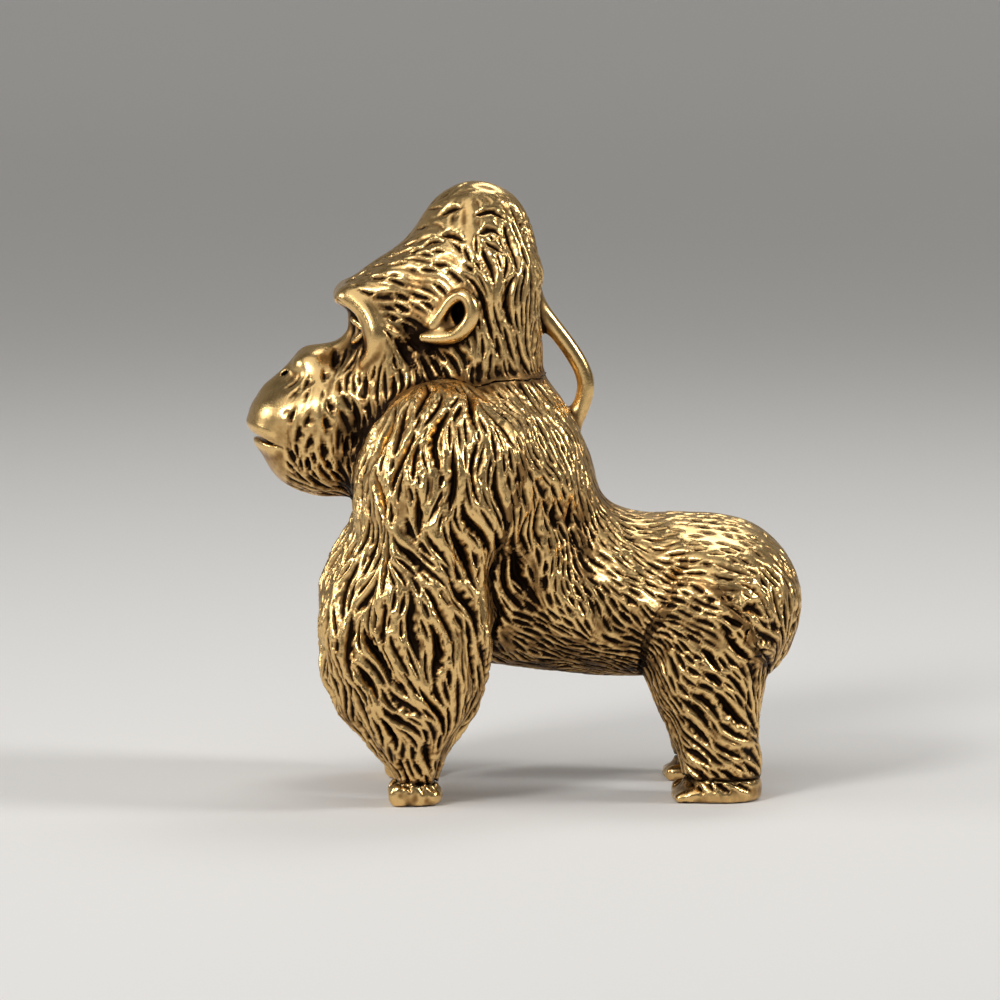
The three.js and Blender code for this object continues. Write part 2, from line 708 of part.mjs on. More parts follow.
function ankleJoint() {
  const root = vec(ANKLE_SPREAD, ANKLE_REACH, ANKLE_HEIGHT / 2);
  return spigotJoint(root, ANKLE.clone().add(vec(0, 0, LIMB_SPIGOT_LENGTH)), ANKLE_SPIGOT_DIAMETER);
}

// The wire bows out between the back of the head and the shoulders, and each end runs on into its bed
function loopTube(diameter, overrun) {
  const top = fromNeck(0, LOOP_TOP_REACH, LOOP_TOP_RISE);
  const bow = fromNeck(0, LOOP_BOW_REACH, LOOP_BOW_RISE);
  const foot = fromNeck(0, LOOP_FOOT_REACH, LOOP_FOOT_RISE);
  const bedded = (mouth) => mouth.clone().sub(bow).setLength(LOOP_BEDDING + overrun).add(mouth);
  const extrudePath = new THREE.CatmullRomCurve3([bedded(top), top, bow, foot, bedded(foot)]);
  const wire = Array.from({ length: LOOP_SIDES }, (_, n) => {
    const angle = (TURN * n) / LOOP_SIDES;
    return new THREE.Vector2(Math.cos(angle), Math.sin(angle)).multiplyScalar(diameter / 2);
  });
  const options = { steps: LOOP_STEPS, extrudePath, bevelEnabled: false };
  return shape(new THREE.ExtrudeGeometry(new THREE.Shape(wire), options));
}

// Face details, cut and added after the head is sculpted

function eye(side) {
  return egg(fromNeck(side * EYE_SPREAD, EYE_REACH, EYE_RISE), Array(3).fill(EYE_DIAMETER));
}

function nostril(side) {
  const at = fromNeck(side * NOSTRIL_SPREAD, NOSE_REACH - NOSE_LENGTH / 2, NOSE_RISE - NOSE_HEIGHT / 4);
  return egg(at, Array(3).fill(NOSTRIL_DIAMETER));
}

// The ear leans back at the top
const earTurn = () => new THREE.Quaternion().setFromAxisAngle(vec(1, 0, 0), -radians(EAR_LEAN));

function ear(side) {
  const at = fromNeck(side * EAR_SPREAD, EAR_REACH, EAR_RISE);
  return egg(at, [EAR_THICKNESS, EAR_LENGTH, EAR_HEIGHT], earTurn());
}

// The ear's bowl leaves a rim behind, above and below, and opens to the front
function earBowl(side) {
  const offset = vec((side * EAR_THICKNESS) / 2, -EAR_RIM, 0).applyQuaternion(earTurn());
  const at = fromNeck(side * EAR_SPREAD, EAR_REACH, EAR_RISE).add(offset);
  return egg(at, [EAR_THICKNESS, EAR_LENGTH - EAR_RIM, EAR_HEIGHT - 2 * EAR_RIM], earTurn());
}

// A thin slit round the front of the lips, no deeper than the mouth's depth
function mouthSlit() {
  const disc = new THREE.CylinderGeometry(MOUTH_WIDTH / 2, MOUTH_WIDTH / 2, MOUTH_OPENING, MOUTH_SIDES);
  const tilt = new THREE.Quaternion().setFromAxisAngle(vec(1, 0, 0), Math.PI / 2 - radians(MOUTH_DROP));
  const at = fromNeck(0, MOUTH_REACH, MOUTH_RISE);
  const slit = shape(disc, new THREE.Matrix4().compose(at, tilt, vec(1, 1, 1)));
  const core = (size) => size.map((full) => full - 2 * MOUTH_DEPTH);
  return slit
    .subtract(egg(fromNeck(0, LIP_REACH, LIP_RISE), core([LIP_WIDTH, LIP_LENGTH, LIP_HEIGHT])))
    .subtract(egg(fromNeck(0, JAW_REACH, JAW_RISE), core([JAW_WIDTH, JAW_LENGTH, JAW_HEIGHT])));
}

// Castings

const torso = torsoMass();
const head = headMass();
const arm = armMass();
const leg = legMass();
const loopHole = loopTube(LOOP_WIRE + 2 * CLEARANCE, CLEARANCE);

function torsoCasting() {
  const blank = sculpt(section(torso, [head, pair(arm), pair(leg)], flankLocks), TORSO_FACET);
  const joints = [neckJoint(), ...SIDES.map(shoulderJoint), ...SIDES.map(hipJoint)];
  return joints.reduce((solid, joint) => solid.subtract(joint.socket), blank).subtract(loopHole);
}

function headCasting() {
  return sculpt(section(head, [torso, pair(arm)]), HEAD_FACET)
    .add(both(eye))
    .add(both(ear))
    .subtract(both(earBowl))
    .subtract(both(nostril))
    .subtract(mouthSlit())
    .subtract(loopHole)
    .add(neckJoint().spigot);
}

function armCasting() {
  return sculpt(section(arm, [torso, head], armLocks), ARM_FACET)
    .add(shoulderJoint(SIDES[0]).spigot)
    .subtract(below(WRIST_HEIGHT + SEAM / 2))
    .subtract(wristJoint().socket);
}

function handCasting() {
  return sculpt(handMass(), HAND_FACET)
    .subtract(above(WRIST_HEIGHT - SEAM / 2))
    .add(wristJoint().spigot)
    .subtract(below(0));
}

function legCasting() {
  return sculpt(section(leg, [torso]), LEG_FACET)
    .add(hipJoint(SIDES[0]).spigot)
    .subtract(below(ANKLE_HEIGHT + SEAM / 2))
    .subtract(ankleJoint().socket);
}

function footCasting() {
  return sculpt(footMass(), FOOT_FACET)
    .subtract(above(ANKLE_HEIGHT - SEAM / 2))
    .add(ankleJoint().spigot)
    .subtract(below(0));
}

// The figure, with its right limbs as mirror images of its left ones

function casting(name, geometry, color, roughness) {
  const material = new THREE.MeshStandardMaterial({ color, roughness, metalness: 1 });
  const mesh = new THREE.Mesh(geometry, material);
  mesh.name = name;
  return mesh;
}

const figure = new THREE.Group();
const rightSide = new THREE.Group();
rightSide.scale.x = -1;
figure.add(
  rightSide,
  casting("torso", geometryOf(torsoCasting()), DARK_BRASS, FUR_ROUGHNESS),
  casting("head", geometryOf(headCasting()), BRASS, FUR_ROUGHNESS),
  casting("hanging_loop", geometryOf(loopTube(LOOP_WIRE, 0)), BRASS, BARE_ROUGHNESS),
);

const limbs = [
  ["arm", armCasting(), BRASS, FUR_ROUGHNESS],
  ["hand", handCasting(), BRASS, BARE_ROUGHNESS],
  ["leg", legCasting(), DARK_BRASS, FUR_ROUGHNESS],
  ["foot", footCasting(), BRASS, BARE_ROUGHNESS],
];
for (const [limb, solid, color, roughness] of limbs) {
  const geometry = geometryOf(solid);
  figure.add(casting(`left_${limb}`, geometry, color, roughness));
  rightSide.add(casting(`right_${limb}`, geometry, color, roughness));
}

// The origin is on the ground under the middle of the figure
const extent = new THREE.Box3().setFromObject(figure);
const middle = extent.getCenter(vec(0, 0, 0));
figure.position.set(-middle.x, -middle.y, -extent.min.z);

export default figure;
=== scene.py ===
import math

import bpy
import numpy as np
import openvdb as vdb
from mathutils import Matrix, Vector
from mathutils.kdtree import KDTree


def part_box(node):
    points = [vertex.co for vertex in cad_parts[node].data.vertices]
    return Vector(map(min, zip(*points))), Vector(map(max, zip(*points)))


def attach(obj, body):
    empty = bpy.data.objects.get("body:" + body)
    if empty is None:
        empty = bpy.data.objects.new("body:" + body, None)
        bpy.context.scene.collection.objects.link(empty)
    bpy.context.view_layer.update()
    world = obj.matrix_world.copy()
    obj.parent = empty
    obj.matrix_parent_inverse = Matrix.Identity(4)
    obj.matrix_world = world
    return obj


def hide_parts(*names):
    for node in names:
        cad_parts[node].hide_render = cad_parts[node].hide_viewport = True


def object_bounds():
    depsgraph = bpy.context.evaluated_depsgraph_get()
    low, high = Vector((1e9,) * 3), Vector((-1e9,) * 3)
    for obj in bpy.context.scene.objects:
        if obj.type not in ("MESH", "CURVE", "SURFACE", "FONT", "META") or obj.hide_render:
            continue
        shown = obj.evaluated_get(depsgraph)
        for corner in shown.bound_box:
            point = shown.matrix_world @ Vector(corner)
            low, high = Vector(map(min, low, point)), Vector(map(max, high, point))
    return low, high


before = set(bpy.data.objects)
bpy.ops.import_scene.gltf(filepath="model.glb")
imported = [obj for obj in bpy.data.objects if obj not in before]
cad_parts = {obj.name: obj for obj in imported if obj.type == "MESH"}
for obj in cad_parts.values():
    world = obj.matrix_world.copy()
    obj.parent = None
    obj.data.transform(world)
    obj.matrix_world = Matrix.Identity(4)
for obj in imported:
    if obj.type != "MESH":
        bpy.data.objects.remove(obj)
cad_low, cad_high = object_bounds()

# The sculpting below is in millimetres, and the finished meshes are written in metres
MM = 1000.0

# Castings that carry fur, castings that are worn bare, and the wire loop
FURRED = ["torso", "head", "left_arm", "right_arm", "left_leg", "right_leg"]
BARE = ["left_hand", "right_hand", "left_foot", "right_foot"]
LOOP = "hanging_loop"

# Sampled fields: signed distances on one grid that holds the whole figure, with margins in grid steps
GRID = 0.18
GRID_MARGIN = 8
WINDOW_MARGIN = 6
FORM_MARGIN = 3
BAND = 26

# Blurs, and how far a blur reaches as a share of its radius
FACET_BLUR = 0.4
HOLLOW_BLUR = 1.0
BARE_BLUR = 0.2
BLUR_REACH = 2.5

# The crease between two castings, and how much broader it is where a limb runs into the body.
# It broadens from the first height or length to the second.
CREASE_WIDTH = 0.8
SHOULDER_BLEND = 3.4
SHOULDER_HEIGHTS = (12.5, 18.0)
HIP_BLEND = 2.6
HIP_HEIGHTS = (7.0, 10.5)
NAPE_BLEND = 1.6
NAPE_LENGTHS = (-3.0, 0.0)

# Points this near to the body's surface lie on its outside
SKIN = 0.1

# Turns a place or a form on the left side over to the right
FLIP = np.array([-1, 1, 1])

lowest = np.array(cad_low) * MM
highest = np.array(cad_high) * MM
FIRST = np.floor(lowest / GRID).astype(int) - GRID_MARGIN
COUNT = np.ceil(highest / GRID).astype(int) + GRID_MARGIN - FIRST


def mesh_arrays(mesh):
    """A mesh's points in millimetres and its triangles."""
    points = np.empty(len(mesh.vertices) * 3, np.float32)
    mesh.vertices.foreach_get("co", points)
    mesh.calc_loop_triangles()
    triangles = np.empty(len(mesh.loop_triangles) * 3, np.int32)
    mesh.loop_triangles.foreach_get("vertices", triangles)
    return points.reshape(-1, 3) * MM, triangles.reshape(-1, 3)


def node_field(name):
    """The signed distance to a CAD node, negative inside it."""
    points, triangles = mesh_arrays(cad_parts[name].data)
    grid = vdb.FloatGrid.createLevelSetFromPolygons(
        points=points,
        triangles=triangles.astype(np.uint32),
        transform=vdb.createLinearTransform(voxelSize=GRID),
        halfWidth=BAND,
    )
    field = np.empty(COUNT, np.float32)
    grid.copyToArray(field, ijk=tuple(int(i) for i in FIRST))
    return field


def soft_min(a, b, width):
    """Joins two fields with a fillet of about that width."""
    overlap = np.maximum(width - np.abs(a - b), 0)
    return np.minimum(a, b) - overlap * overlap / (4 * width)


def soft_max(a, b, width):
    """Cuts one field by another, with a fillet of about that width."""
    return -soft_min(-a, -b, width)


def blur(field, sigma):
    """A Gaussian blur of that radius in millimetres."""
    reach = max(1, int(math.ceil(BLUR_REACH * sigma / GRID)))
    weights = np.exp(-0.5 * (np.arange(-reach, reach + 1) * GRID / sigma) ** 2)
    weights /= weights.sum()
    for axis in range(3):
        padding = [(reach, reach) if n == axis else (0, 0) for n in range(3)]
        padded = np.pad(field, padding, mode="edge")
        size = field.shape[axis]
        total = np.zeros_like(field)
        for n, weight in enumerate(weights):
            window = [slice(n, n + size) if a == axis else slice(None) for a in range(3)]
            total += np.float32(weight) * padded[tuple(window)]
        field = total
    return field


def sample(field, points):
    """The field's value at each point, by interpolation."""
    at = points / GRID - FIRST
    cell = np.clip(np.floor(at).astype(int), 0, np.array(field.shape) - 2)
    share = at - cell
    value = np.zeros(len(points))
    for corner in np.ndindex(2, 2, 2):
        weight = np.prod(np.where(corner, share, 1 - share), axis=1)
        value += weight * field[tuple((cell + corner).T)]
    return value


def unit(vectors):
    return vectors / np.maximum(np.linalg.norm(vectors, axis=1, keepdims=True), 1e-9)


def slope(field, points):
    """The field's direction of growth at each point: a surface's normal."""
    steps = np.eye(3) * GRID
    growth = [sample(field, points + step) - sample(field, points - step) for step in steps]
    return unit(np.stack(growth, axis=1))


def refine(field):
    """The same field on a grid of half the spacing."""
    for axis in range(3):
        field = np.moveaxis(field, axis, 0)
        padded = np.concatenate([field[:1], field, field[-1:]])
        between = (9 * (padded[1:-2] + padded[2:-1]) - padded[:-3] - padded[3:]) / 16
        finer = np.empty((2 * len(field) - 1,) + field.shape[1:], np.float32)
        finer[0::2] = field
        finer[1::2] = between
        field = np.moveaxis(finer, 0, axis)
    return field


def rise(value, start, stop):
    """A smooth step from 0 at start to 1 at stop."""
    share = np.clip((value - start) / (stop - start), 0, 1)
    return share * share * (3 - 2 * share)


def join_castings():
    """The whole body as one field: the arms and legs run into it above and stand clear below."""
    _, y, z = axes_of_grid()
    shoulder = CREASE_WIDTH + SHOULDER_BLEND * rise(z, *SHOULDER_HEIGHTS)
    hip = CREASE_WIDTH + HIP_BLEND * rise(z, *HIP_HEIGHTS)
    nape = CREASE_WIDTH + NAPE_BLEND * rise(y, *NAPE_LENGTHS)
    whole = distances["torso"]
    for name in ("left_arm", "right_arm"):
        whole = soft_min(whole, distances[name], shoulder)
    for name in ("left_leg", "right_leg"):
        whole = soft_min(whole, distances[name], hip)
    whole = soft_min(whole, distances["head"], nape)
    for name in BARE:
        whole = soft_min(whole, distances[name], CREASE_WIDTH)
    return blur(whole, FACET_BLUR)


def axes_of_grid():
    """The grid's coordinates along x, y and z."""
    axes = [(np.arange(count) + first) * GRID for count, first in zip(COUNT, FIRST)]
    return np.meshgrid(*axes, indexing="ij", sparse=True)


distances = {name: node_field(name) for name in FURRED + BARE + [LOOP]}
body = join_castings().astype(np.float32)
hollows = blur(body, HOLLOW_BLUR)


# Forms for the small details: each is a distance function with the box that it fills

def ball(at, size):
    """An ellipsoid."""
    at, half = np.array(at, float), np.array(size, float) / 2

    def distance(x, y, z):
        offsets = [x - at[0], y - at[1], z - at[2]]
        near = np.sqrt(sum((o / h) ** 2 for o, h in zip(offsets, half)))
        steep = np.sqrt(sum((o / h ** 2) ** 2 for o, h in zip(offsets, half)))
        return near * (near - 1) / np.maximum(steep, 1e-6)

    return distance, at - half, at + half


def smooth_path(stations, steps=6):
    """A curve through stations of any number of values."""
    stations = np.array(stations, float)
    before = 2 * stations[:1] - stations[1:2]
    after = 2 * stations[-1:] - stations[-2:-1]
    padded = np.concatenate([before, stations, after])
    t = np.linspace(0, 1, steps, endpoint=False)[:, None]
    spans = []
    for a, b, c, d in zip(padded, padded[1:], padded[2:], padded[3:]):
        linear = t * (c - a) / 2
        square = t ** 2 * (2 * a - 5 * b + 4 * c - d) / 2
        cubic = t ** 3 * (3 * (b - c) + d - a) / 2
        spans.append(b + linear + square + cubic)
    return np.concatenate(spans + [stations[-1:]])


def tube(stations):
    """A round bar along a curve through stations of (x, y, z, diameter)."""
    path = smooth_path(stations)

    def distance(x, y, z):
        nearest = None
        for a, b in zip(path, path[1:]):
            along = b[:3] - a[:3]
            reach = (x - a[0]) * along[0] + (y - a[1]) * along[1] + (z - a[2]) * along[2]
            share = np.clip(reach / max(along @ along, 1e-9), 0, 1)
            offsets = [v - a[n] - share * along[n] for n, v in enumerate((x, y, z))]
            radius = (a[3] + share * (b[3] - a[3])) / 2
            apart = np.sqrt(sum(offset ** 2 for offset in offsets)) - radius
            nearest = apart if nearest is None else np.minimum(nearest, apart)
        return nearest

    thick = path[:, 3:].max() / 2
    return distance, path[:, :3].min(axis=0) - thick, path[:, :3].max(axis=0) + thick


def mirrored(form):
    """The same form on the right side."""
    distance, low, high = form

    def turned_over(x, y, z):
        return distance(-x, y, z)

    corners = low * FLIP, high * FLIP
    return turned_over, np.minimum(*corners), np.maximum(*corners)


def unturned(form):
    """The form itself, for the left side."""
    return form


class Clay:
    """A casting's field on its own grid, to which forms are added and from which they are cut."""

    def __init__(self, field, first, spacing):
        self.field, self.first, self.spacing = field, first, spacing

    def window(self, low, high, margin):
        """The part of the grid that holds a box, as slices and its coordinates."""
        start = np.floor((low - margin) / self.spacing).astype(int) - self.first
        stop = np.ceil((high + margin) / self.spacing).astype(int) + 1 - self.first
        start, stop = np.clip(start, 0, self.field.shape), np.clip(stop, 0, self.field.shape)
        axes = [(np.arange(a, b) + f) * self.spacing for a, b, f in zip(start, stop, self.first)]
        window = tuple(slice(a, b) for a, b in zip(start, stop))
        return window, np.meshgrid(*axes, indexing="ij", sparse=True)

    def add(self, form, fillet):
        distance, low, high = form
        window, axes = self.window(low, high, fillet + FORM_MARGIN * self.spacing)
        self.field[window] = soft_min(self.field[window], distance(*axes), fillet)

    def cut(self, form, fillet):
        distance, low, high = form
        window, axes = self.window(low, high, fillet + FORM_MARGIN * self.spacing)
        self.field[window] = soft_max(self.field[window], -distance(*axes), fillet)

    def add_pair(self, form, fillet):
        self.add(form, fillet)
        self.add(mirrored(form), fillet)

    def cut_pair(self, form, fillet):
        self.cut(form, fillet)
        self.cut(mirrored(form), fillet)

    def polygons(self):
        """A closed quad mesh of the zero surface."""
        grid = vdb.FloatGrid(1.0)
        values = np.ascontiguousarray(self.field, np.float32)
        grid.copyFromArray(values, ijk=tuple(int(i) for i in self.first))
        grid.transform = vdb.createLinearTransform(voxelSize=self.spacing)
        return grid.convertToQuads(0.0)


def window_of(name):
    """The part of the shared grid that holds a node, as slices and its first index."""
    low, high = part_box(name)
    first = np.floor(np.array(low) * MM / GRID).astype(int) - WINDOW_MARGIN - FIRST
    last = np.ceil(np.array(high) * MM / GRID).astype(int) + WINDOW_MARGIN + 1 - FIRST
    return tuple(slice(a, b) for a, b in zip(first, last)), first + FIRST


def clay_of(field, first):
    """A field as clay, on a grid of half the spacing."""
    return Clay(refine(field), first * 2, GRID / 2)


# Furred limbs and the head lap a little over the torso, the hands and the feet, which dip under them
LAP = 0.12
DIP = 0.03
DIP_WIDTH = 0.35

# Deep inside, a socket's flat floor is moved off the grid's planes, on which it can't be meshed cleanly
INSIDE = 0.5
FLOOR_SHIFT = 0.002

# Hands and feet keep their own corners where they stand out of the blended body
BARE_FILLET = 0.15

# The loop's wire is a little fuller than its solid, with a collar of braze at each end
WIRE_SWELL = 0.04
WIRE_FILLET = 0.6
BRAZE_REACH = 0.45


def parting_of(name):
    """Half the way from a CAD solid to its neighbours: negative on its own side."""
    others = [distances[other] for other in FURRED + BARE if other != name]
    return (distances[name] - np.minimum.reduce(others)) / 2


neck = parting_of("head")


def casting(name):
    """A piece of the body, parted from the others half-way between their CAD solids."""
    window, first = window_of(name)
    parting = parting_of(name)[window]
    form = body[window]
    if name in BARE:
        form = soft_min(form, blur(distances[name], BARE_BLUR)[window], BARE_FILLET)
    if name in BARE or name == "torso":
        form = form + DIP * (1 - rise(-parting, 0, DIP_WIDTH))
        parting = np.where(form < -INSIDE, parting + FLOOR_SHIFT, parting)
    else:
        parting = parting - LAP
    return clay_of(np.maximum(form, parting), first)


def wire_loop():
    """The wire loop, with a fillet where it runs into the head and the back."""
    window, first = window_of(LOOP)
    wire = blur(distances[LOOP], BARE_BLUR)[window] - WIRE_SWELL
    skin = body[window]
    braze = np.maximum(soft_min(wire, skin, WIRE_FILLET), wire - BRAZE_REACH)
    return clay_of(np.maximum(braze, -skin - LAP), first)


# Face: stations of (x, y, z, diameter) on the left side

BROW_RIM = [
    (0.0, -10.6, 29.2, 0.75),
    (1.3, -10.6, 29.25, 0.75),
    (2.4, -10.25, 29.1, 0.75),
    (3.1, -9.65, 28.75, 0.8),
    (3.6, -9.15, 28.15, 0.85),
    (3.9, -8.9, 27.4, 0.85),
    (3.95, -8.85, 26.6, 0.8),
    (3.7, -9.0, 25.95, 0.65),
    (3.2, -9.4, 25.4, 0.45),
]
NOSE_BRIDGE = [
    (0, -9.6, 27.6, 0.9),
    (0, -9.95, 26.6, 1.05),
    (0, -11.0, 25.65, 1.05),
    (0, -12.5, 25.45, 1.3),
]
NOSE_FRONT = [
    (0, -12.75, 24.75, 1.7),
    (0, -13.6, 24.0, 1.8),
    (0, -14.3, 23.3, 1.9),
]
EAR_RIM = [
    (4.25, -6.0, 26.95, 0.55),
    (4.55, -5.0, 26.95, 0.75),
    (4.85, -4.1, 27.15, 0.85),
    (5.05, -3.45, 27.8, 0.85),
    (5.1, -3.2, 28.5, 0.85),
    (5.0, -3.4, 29.15, 0.8),
    (4.85, -3.85, 29.45, 0.7),
    (4.6, -4.45, 29.1, 0.6),
    (4.45, -4.95, 28.4, 0.5),
    (4.3, -5.45, 27.7, 0.45),
]

# Brow: hollows at the temple, around the eye and under the middle, and the rim that stands over them
TEMPLE = ball((4.7, -11.4, 28.5), (3.4, 3.6, 3.4))
EYE_SOCKET = ball((2.1, -11.2, 27.5), (3.9, 3.8, 2.7))
BROW_UNDERSIDE = ball((0, -11.5, 28.0), (3.4, 2.4, 1.5))
TEMPLE_FILLET = 0.5
BROW_FILLET = 0.3


def brow(clay):
    """The bare rim of the brow: a visor that runs out and down around each eye."""
    clay.cut_pair(TEMPLE, TEMPLE_FILLET)
    clay.cut_pair(EYE_SOCKET, BROW_FILLET)
    clay.cut(BROW_UNDERSIDE, BROW_FILLET)
    clay.add_pair(tube(BROW_RIM), BROW_FILLET)


# Eyes: the ball, and a lid's stations as (x, y) from its middle and the share of the lid's height there
EYE = (1.72, -9.2, 27.2)
EYE_SIZE = 1.4
EYE_FILLET = 0.05
LID = [(-0.7, -0.45, 0), (-0.3, -0.75, 1), (0.3, -0.7, 1), (0.85, -0.1, 0)]
LID_END = 0.28
LID_FILLET = 0.12

# Height and thickness of the upper and the lower lid
LIDS = [(0.55, 0.42), (-0.6, 0.36)]


def eyes(clay):
    """Round eyes between two lids, which meet at the eye's corners."""
    x, y, z = EYE
    clay.add_pair(ball(EYE, (EYE_SIZE,) * 3), EYE_FILLET)
    for height, thick in LIDS:
        lid = []
        for across, out, share in LID:
            lid.append((x + across, y + out, z + share * height, LID_END + share * (thick - LID_END)))
        clay.add_pair(tube(lid), LID_FILLET)


# Nose: the bridge, the broad front, a wing and a nostril on each side
NOSE_WING = ball((0.9, -12.5, 25.1), (1.6, 1.9, 1.4))
NOSTRIL = ball((0.5, -13.85, 24.5), (0.48, 0.7, 0.42))
BRIDGE_FILLET = 0.4
NOSE_FILLET = 0.6
WING_FILLET = 0.45
NOSTRIL_FILLET = 0.15


def nose(clay):
    clay.add(tube(NOSE_BRIDGE), BRIDGE_FILLET)
    clay.add(tube(NOSE_FRONT), NOSE_FILLET)
    clay.add_pair(NOSE_WING, WING_FILLET)
    clay.cut_pair(NOSTRIL, NOSTRIL_FILLET)


# Mouth: its corner as (y, z), the box that holds it, and the lips on both sides of the slit
MOUTH_CORNER = (-14.2, 20.4)
MOUTH_HALF = 4.0
MOUTH_FRONT = -17.0
MOUTH_BOTTOM = 19.0
MOUTH_TOP = 22.5
MOUTH_DROP = math.radians(20)
MOUTH_WIDTH = 0.2
MOUTH_DEPTH = 0.3
MOUTH_TAPER = 1.0
MOUTH_FILLET = 0.15
LIP_HEIGHT = 0.12
LIP_PLACE = 0.5
LIP_WIDTH = 0.35
LIP_TAPER = 0.8


def mouth(clay):
    """A slit around the front of the lips, which narrows towards its corners."""
    corner_y, corner_z = MOUTH_CORNER
    low = np.array([-MOUTH_HALF, MOUTH_FRONT, MOUTH_BOTTOM])
    high = np.array([MOUTH_HALF, corner_y, MOUTH_TOP])
    window, (_, y, z) = clay.window(low, high, 0)
    skin = clay.field[window]
    across = np.cos(MOUTH_DROP) * (z - corner_z) + np.sin(MOUTH_DROP) * (y - corner_y)
    opening = MOUTH_WIDTH / 2 * (1 - rise(y, corner_y - MOUTH_TAPER, corner_y))
    slit = np.maximum(np.abs(across) - opening, -skin - MOUTH_DEPTH)
    lips = LIP_HEIGHT * np.exp(-((np.abs(across) - LIP_PLACE) / LIP_WIDTH) ** 2)
    lips = lips * rise(-y, -corner_y, LIP_TAPER - corner_y)
    clay.field[window] = soft_max(skin - lips, -slit, MOUTH_FILLET)


# Ear: an open bowl, a slot at its back and the rolled rim
EAR_BOWL = ball((5.2, -4.4, 28.2), (1.7, 1.9, 2.2))
EAR_SLOT = ball((4.5, -4.0, 28.4), (1.8, 0.75, 1.4))
EAR_BOWL_FILLET = 0.2
EAR_SLOT_FILLET = 0.15
EAR_RIM_FILLET = 0.25


def ear(clay):
    """A rolled rim around an open bowl, with a deep slot at its back."""
    clay.cut_pair(EAR_BOWL, EAR_BOWL_FILLET)
    clay.cut_pair(EAR_SLOT, EAR_SLOT_FILLET)
    clay.add_pair(tube(EAR_RIM), EAR_RIM_FILLET)


# Step of the search for the body's side
SIDE_STEP = 0.02


def on_left_side(places):
    """Points of the body's left side at places given as (y, z)."""
    across = np.arange(0.0, highest[0], SIDE_STEP)
    points = []
    for y, z in places:
        line = np.stack([across, np.full_like(across, y), np.full_like(across, z)], axis=1)
        points.append(line[np.flatnonzero(sample(body, line) < 0)[-1]])
    return np.array(points)


def sunk_bar(line, width, sink):
    """A bar along a line of the body's side, with its middle that far under the skin."""
    line = line - sink * slope(body, line)
    return tube([(*point, width) for point in line])


# A smooth ridge from the crown down to the ear, as (y, z)
CROWN_RIDGE = on_left_side([(-3.3, 34.6), (-3.3, 33.6), (-3.2, 32.6), (-3.15, 31.6)])
RIDGE_WIDTH = 2.0
RIDGE_SINK = 0.96
RIDGE_FILLET = 0.4


def crown(clay):
    clay.add_pair(sunk_bar(CROWN_RIDGE, RIDGE_WIDTH, RIDGE_SINK), RIDGE_FILLET)


# A bare ridge down the front of each thigh, as (y, z)
THIGH_RIDGE = on_left_side([(8.55, 9.9), (8.2, 8.9), (7.95, 7.7)])
THIGH_WIDTH = 0.9
THIGH_SINK = 0.4
THIGH_FILLET = 0.4


def thigh(clay, turned):
    clay.add(turned(sunk_bar(THIGH_RIDGE, THIGH_WIDTH, THIGH_SINK)), THIGH_FILLET)


def face(clay):
    brow(clay)
    eyes(clay)
    nose(clay)
    mouth(clay)
    ear(clay)
    crown(clay)


# Hands: a finger's stations as (y, z, diameter), the heel of the hand and the nick beside the fingers
HAND_X = 5.8
FINGERS = 4
FINGER_PITCH = 0.82
FINGER = [(-6.9, 1.15, 0.75), (-7.5, 1.0, 0.85), (-7.7, 0.55, 0.85), (-7.3, 0.43, 0.8)]
HAND_HEEL = ball((HAND_X, -5.6, 0.6), (3.0, 1.3, 1.15))
HAND_NICK = tube([(7.75, -6.6, 1.3, 0.5), (7.7, -6.55, 0.7, 0.5), (7.6, -6.6, 0.0, 0.4)])
DIGIT_FILLET = 0.08
PALM_FILLET = 0.2


def fist(clay, turned):
    """Folded fingers that stand on their knuckles, and the heel of the hand behind them."""
    for n in range(FINGERS):
        x = HAND_X + (n - (FINGERS - 1) / 2) * FINGER_PITCH
        clay.add(turned(tube([(x, *station) for station in FINGER])), DIGIT_FILLET)
    clay.add(turned(HAND_HEEL), PALM_FILLET)
    clay.cut(turned(HAND_NICK), PALM_FILLET)


# Feet: the toes lie on the ground, and each reaches a little less far than the one inside it.
# A toe's root is (y, z, diameter), and its middle is so far behind the tip and so high.
FOOT_X = 4.5
TOES = 5
TOE_PITCH = 0.82
TOE_THICK = 0.8
INNER_TOE_THICK = 0.98
TOE_TIP = 8.95
TOE_STAGGER = 0.12
TOE_ROOT = (10.8, 0.55, 0.7)
TOE_MIDDLE = (0.6, 0.52)
TOE_TAPER = 0.05


def foot(clay, turned):
    """Short toes along the front of the sole, the inner one the thickest."""
    for n in range(TOES):
        x = FOOT_X + (n - (TOES - 1) / 2) * TOE_PITCH
        thick = INNER_TOE_THICK if n == 0 else TOE_THICK
        tip = TOE_TIP + TOE_STAGGER * n
        behind, height = TOE_MIDDLE
        toe = [(x, *TOE_ROOT), (x, tip + behind, height, thick), (x, tip, thick / 2, thick - TOE_TAPER)]
        clay.add(turned(tube(toe)), DIGIT_FILLET)


# Fur

FUR_SEED = 11
STROKE_STEP = 0.14

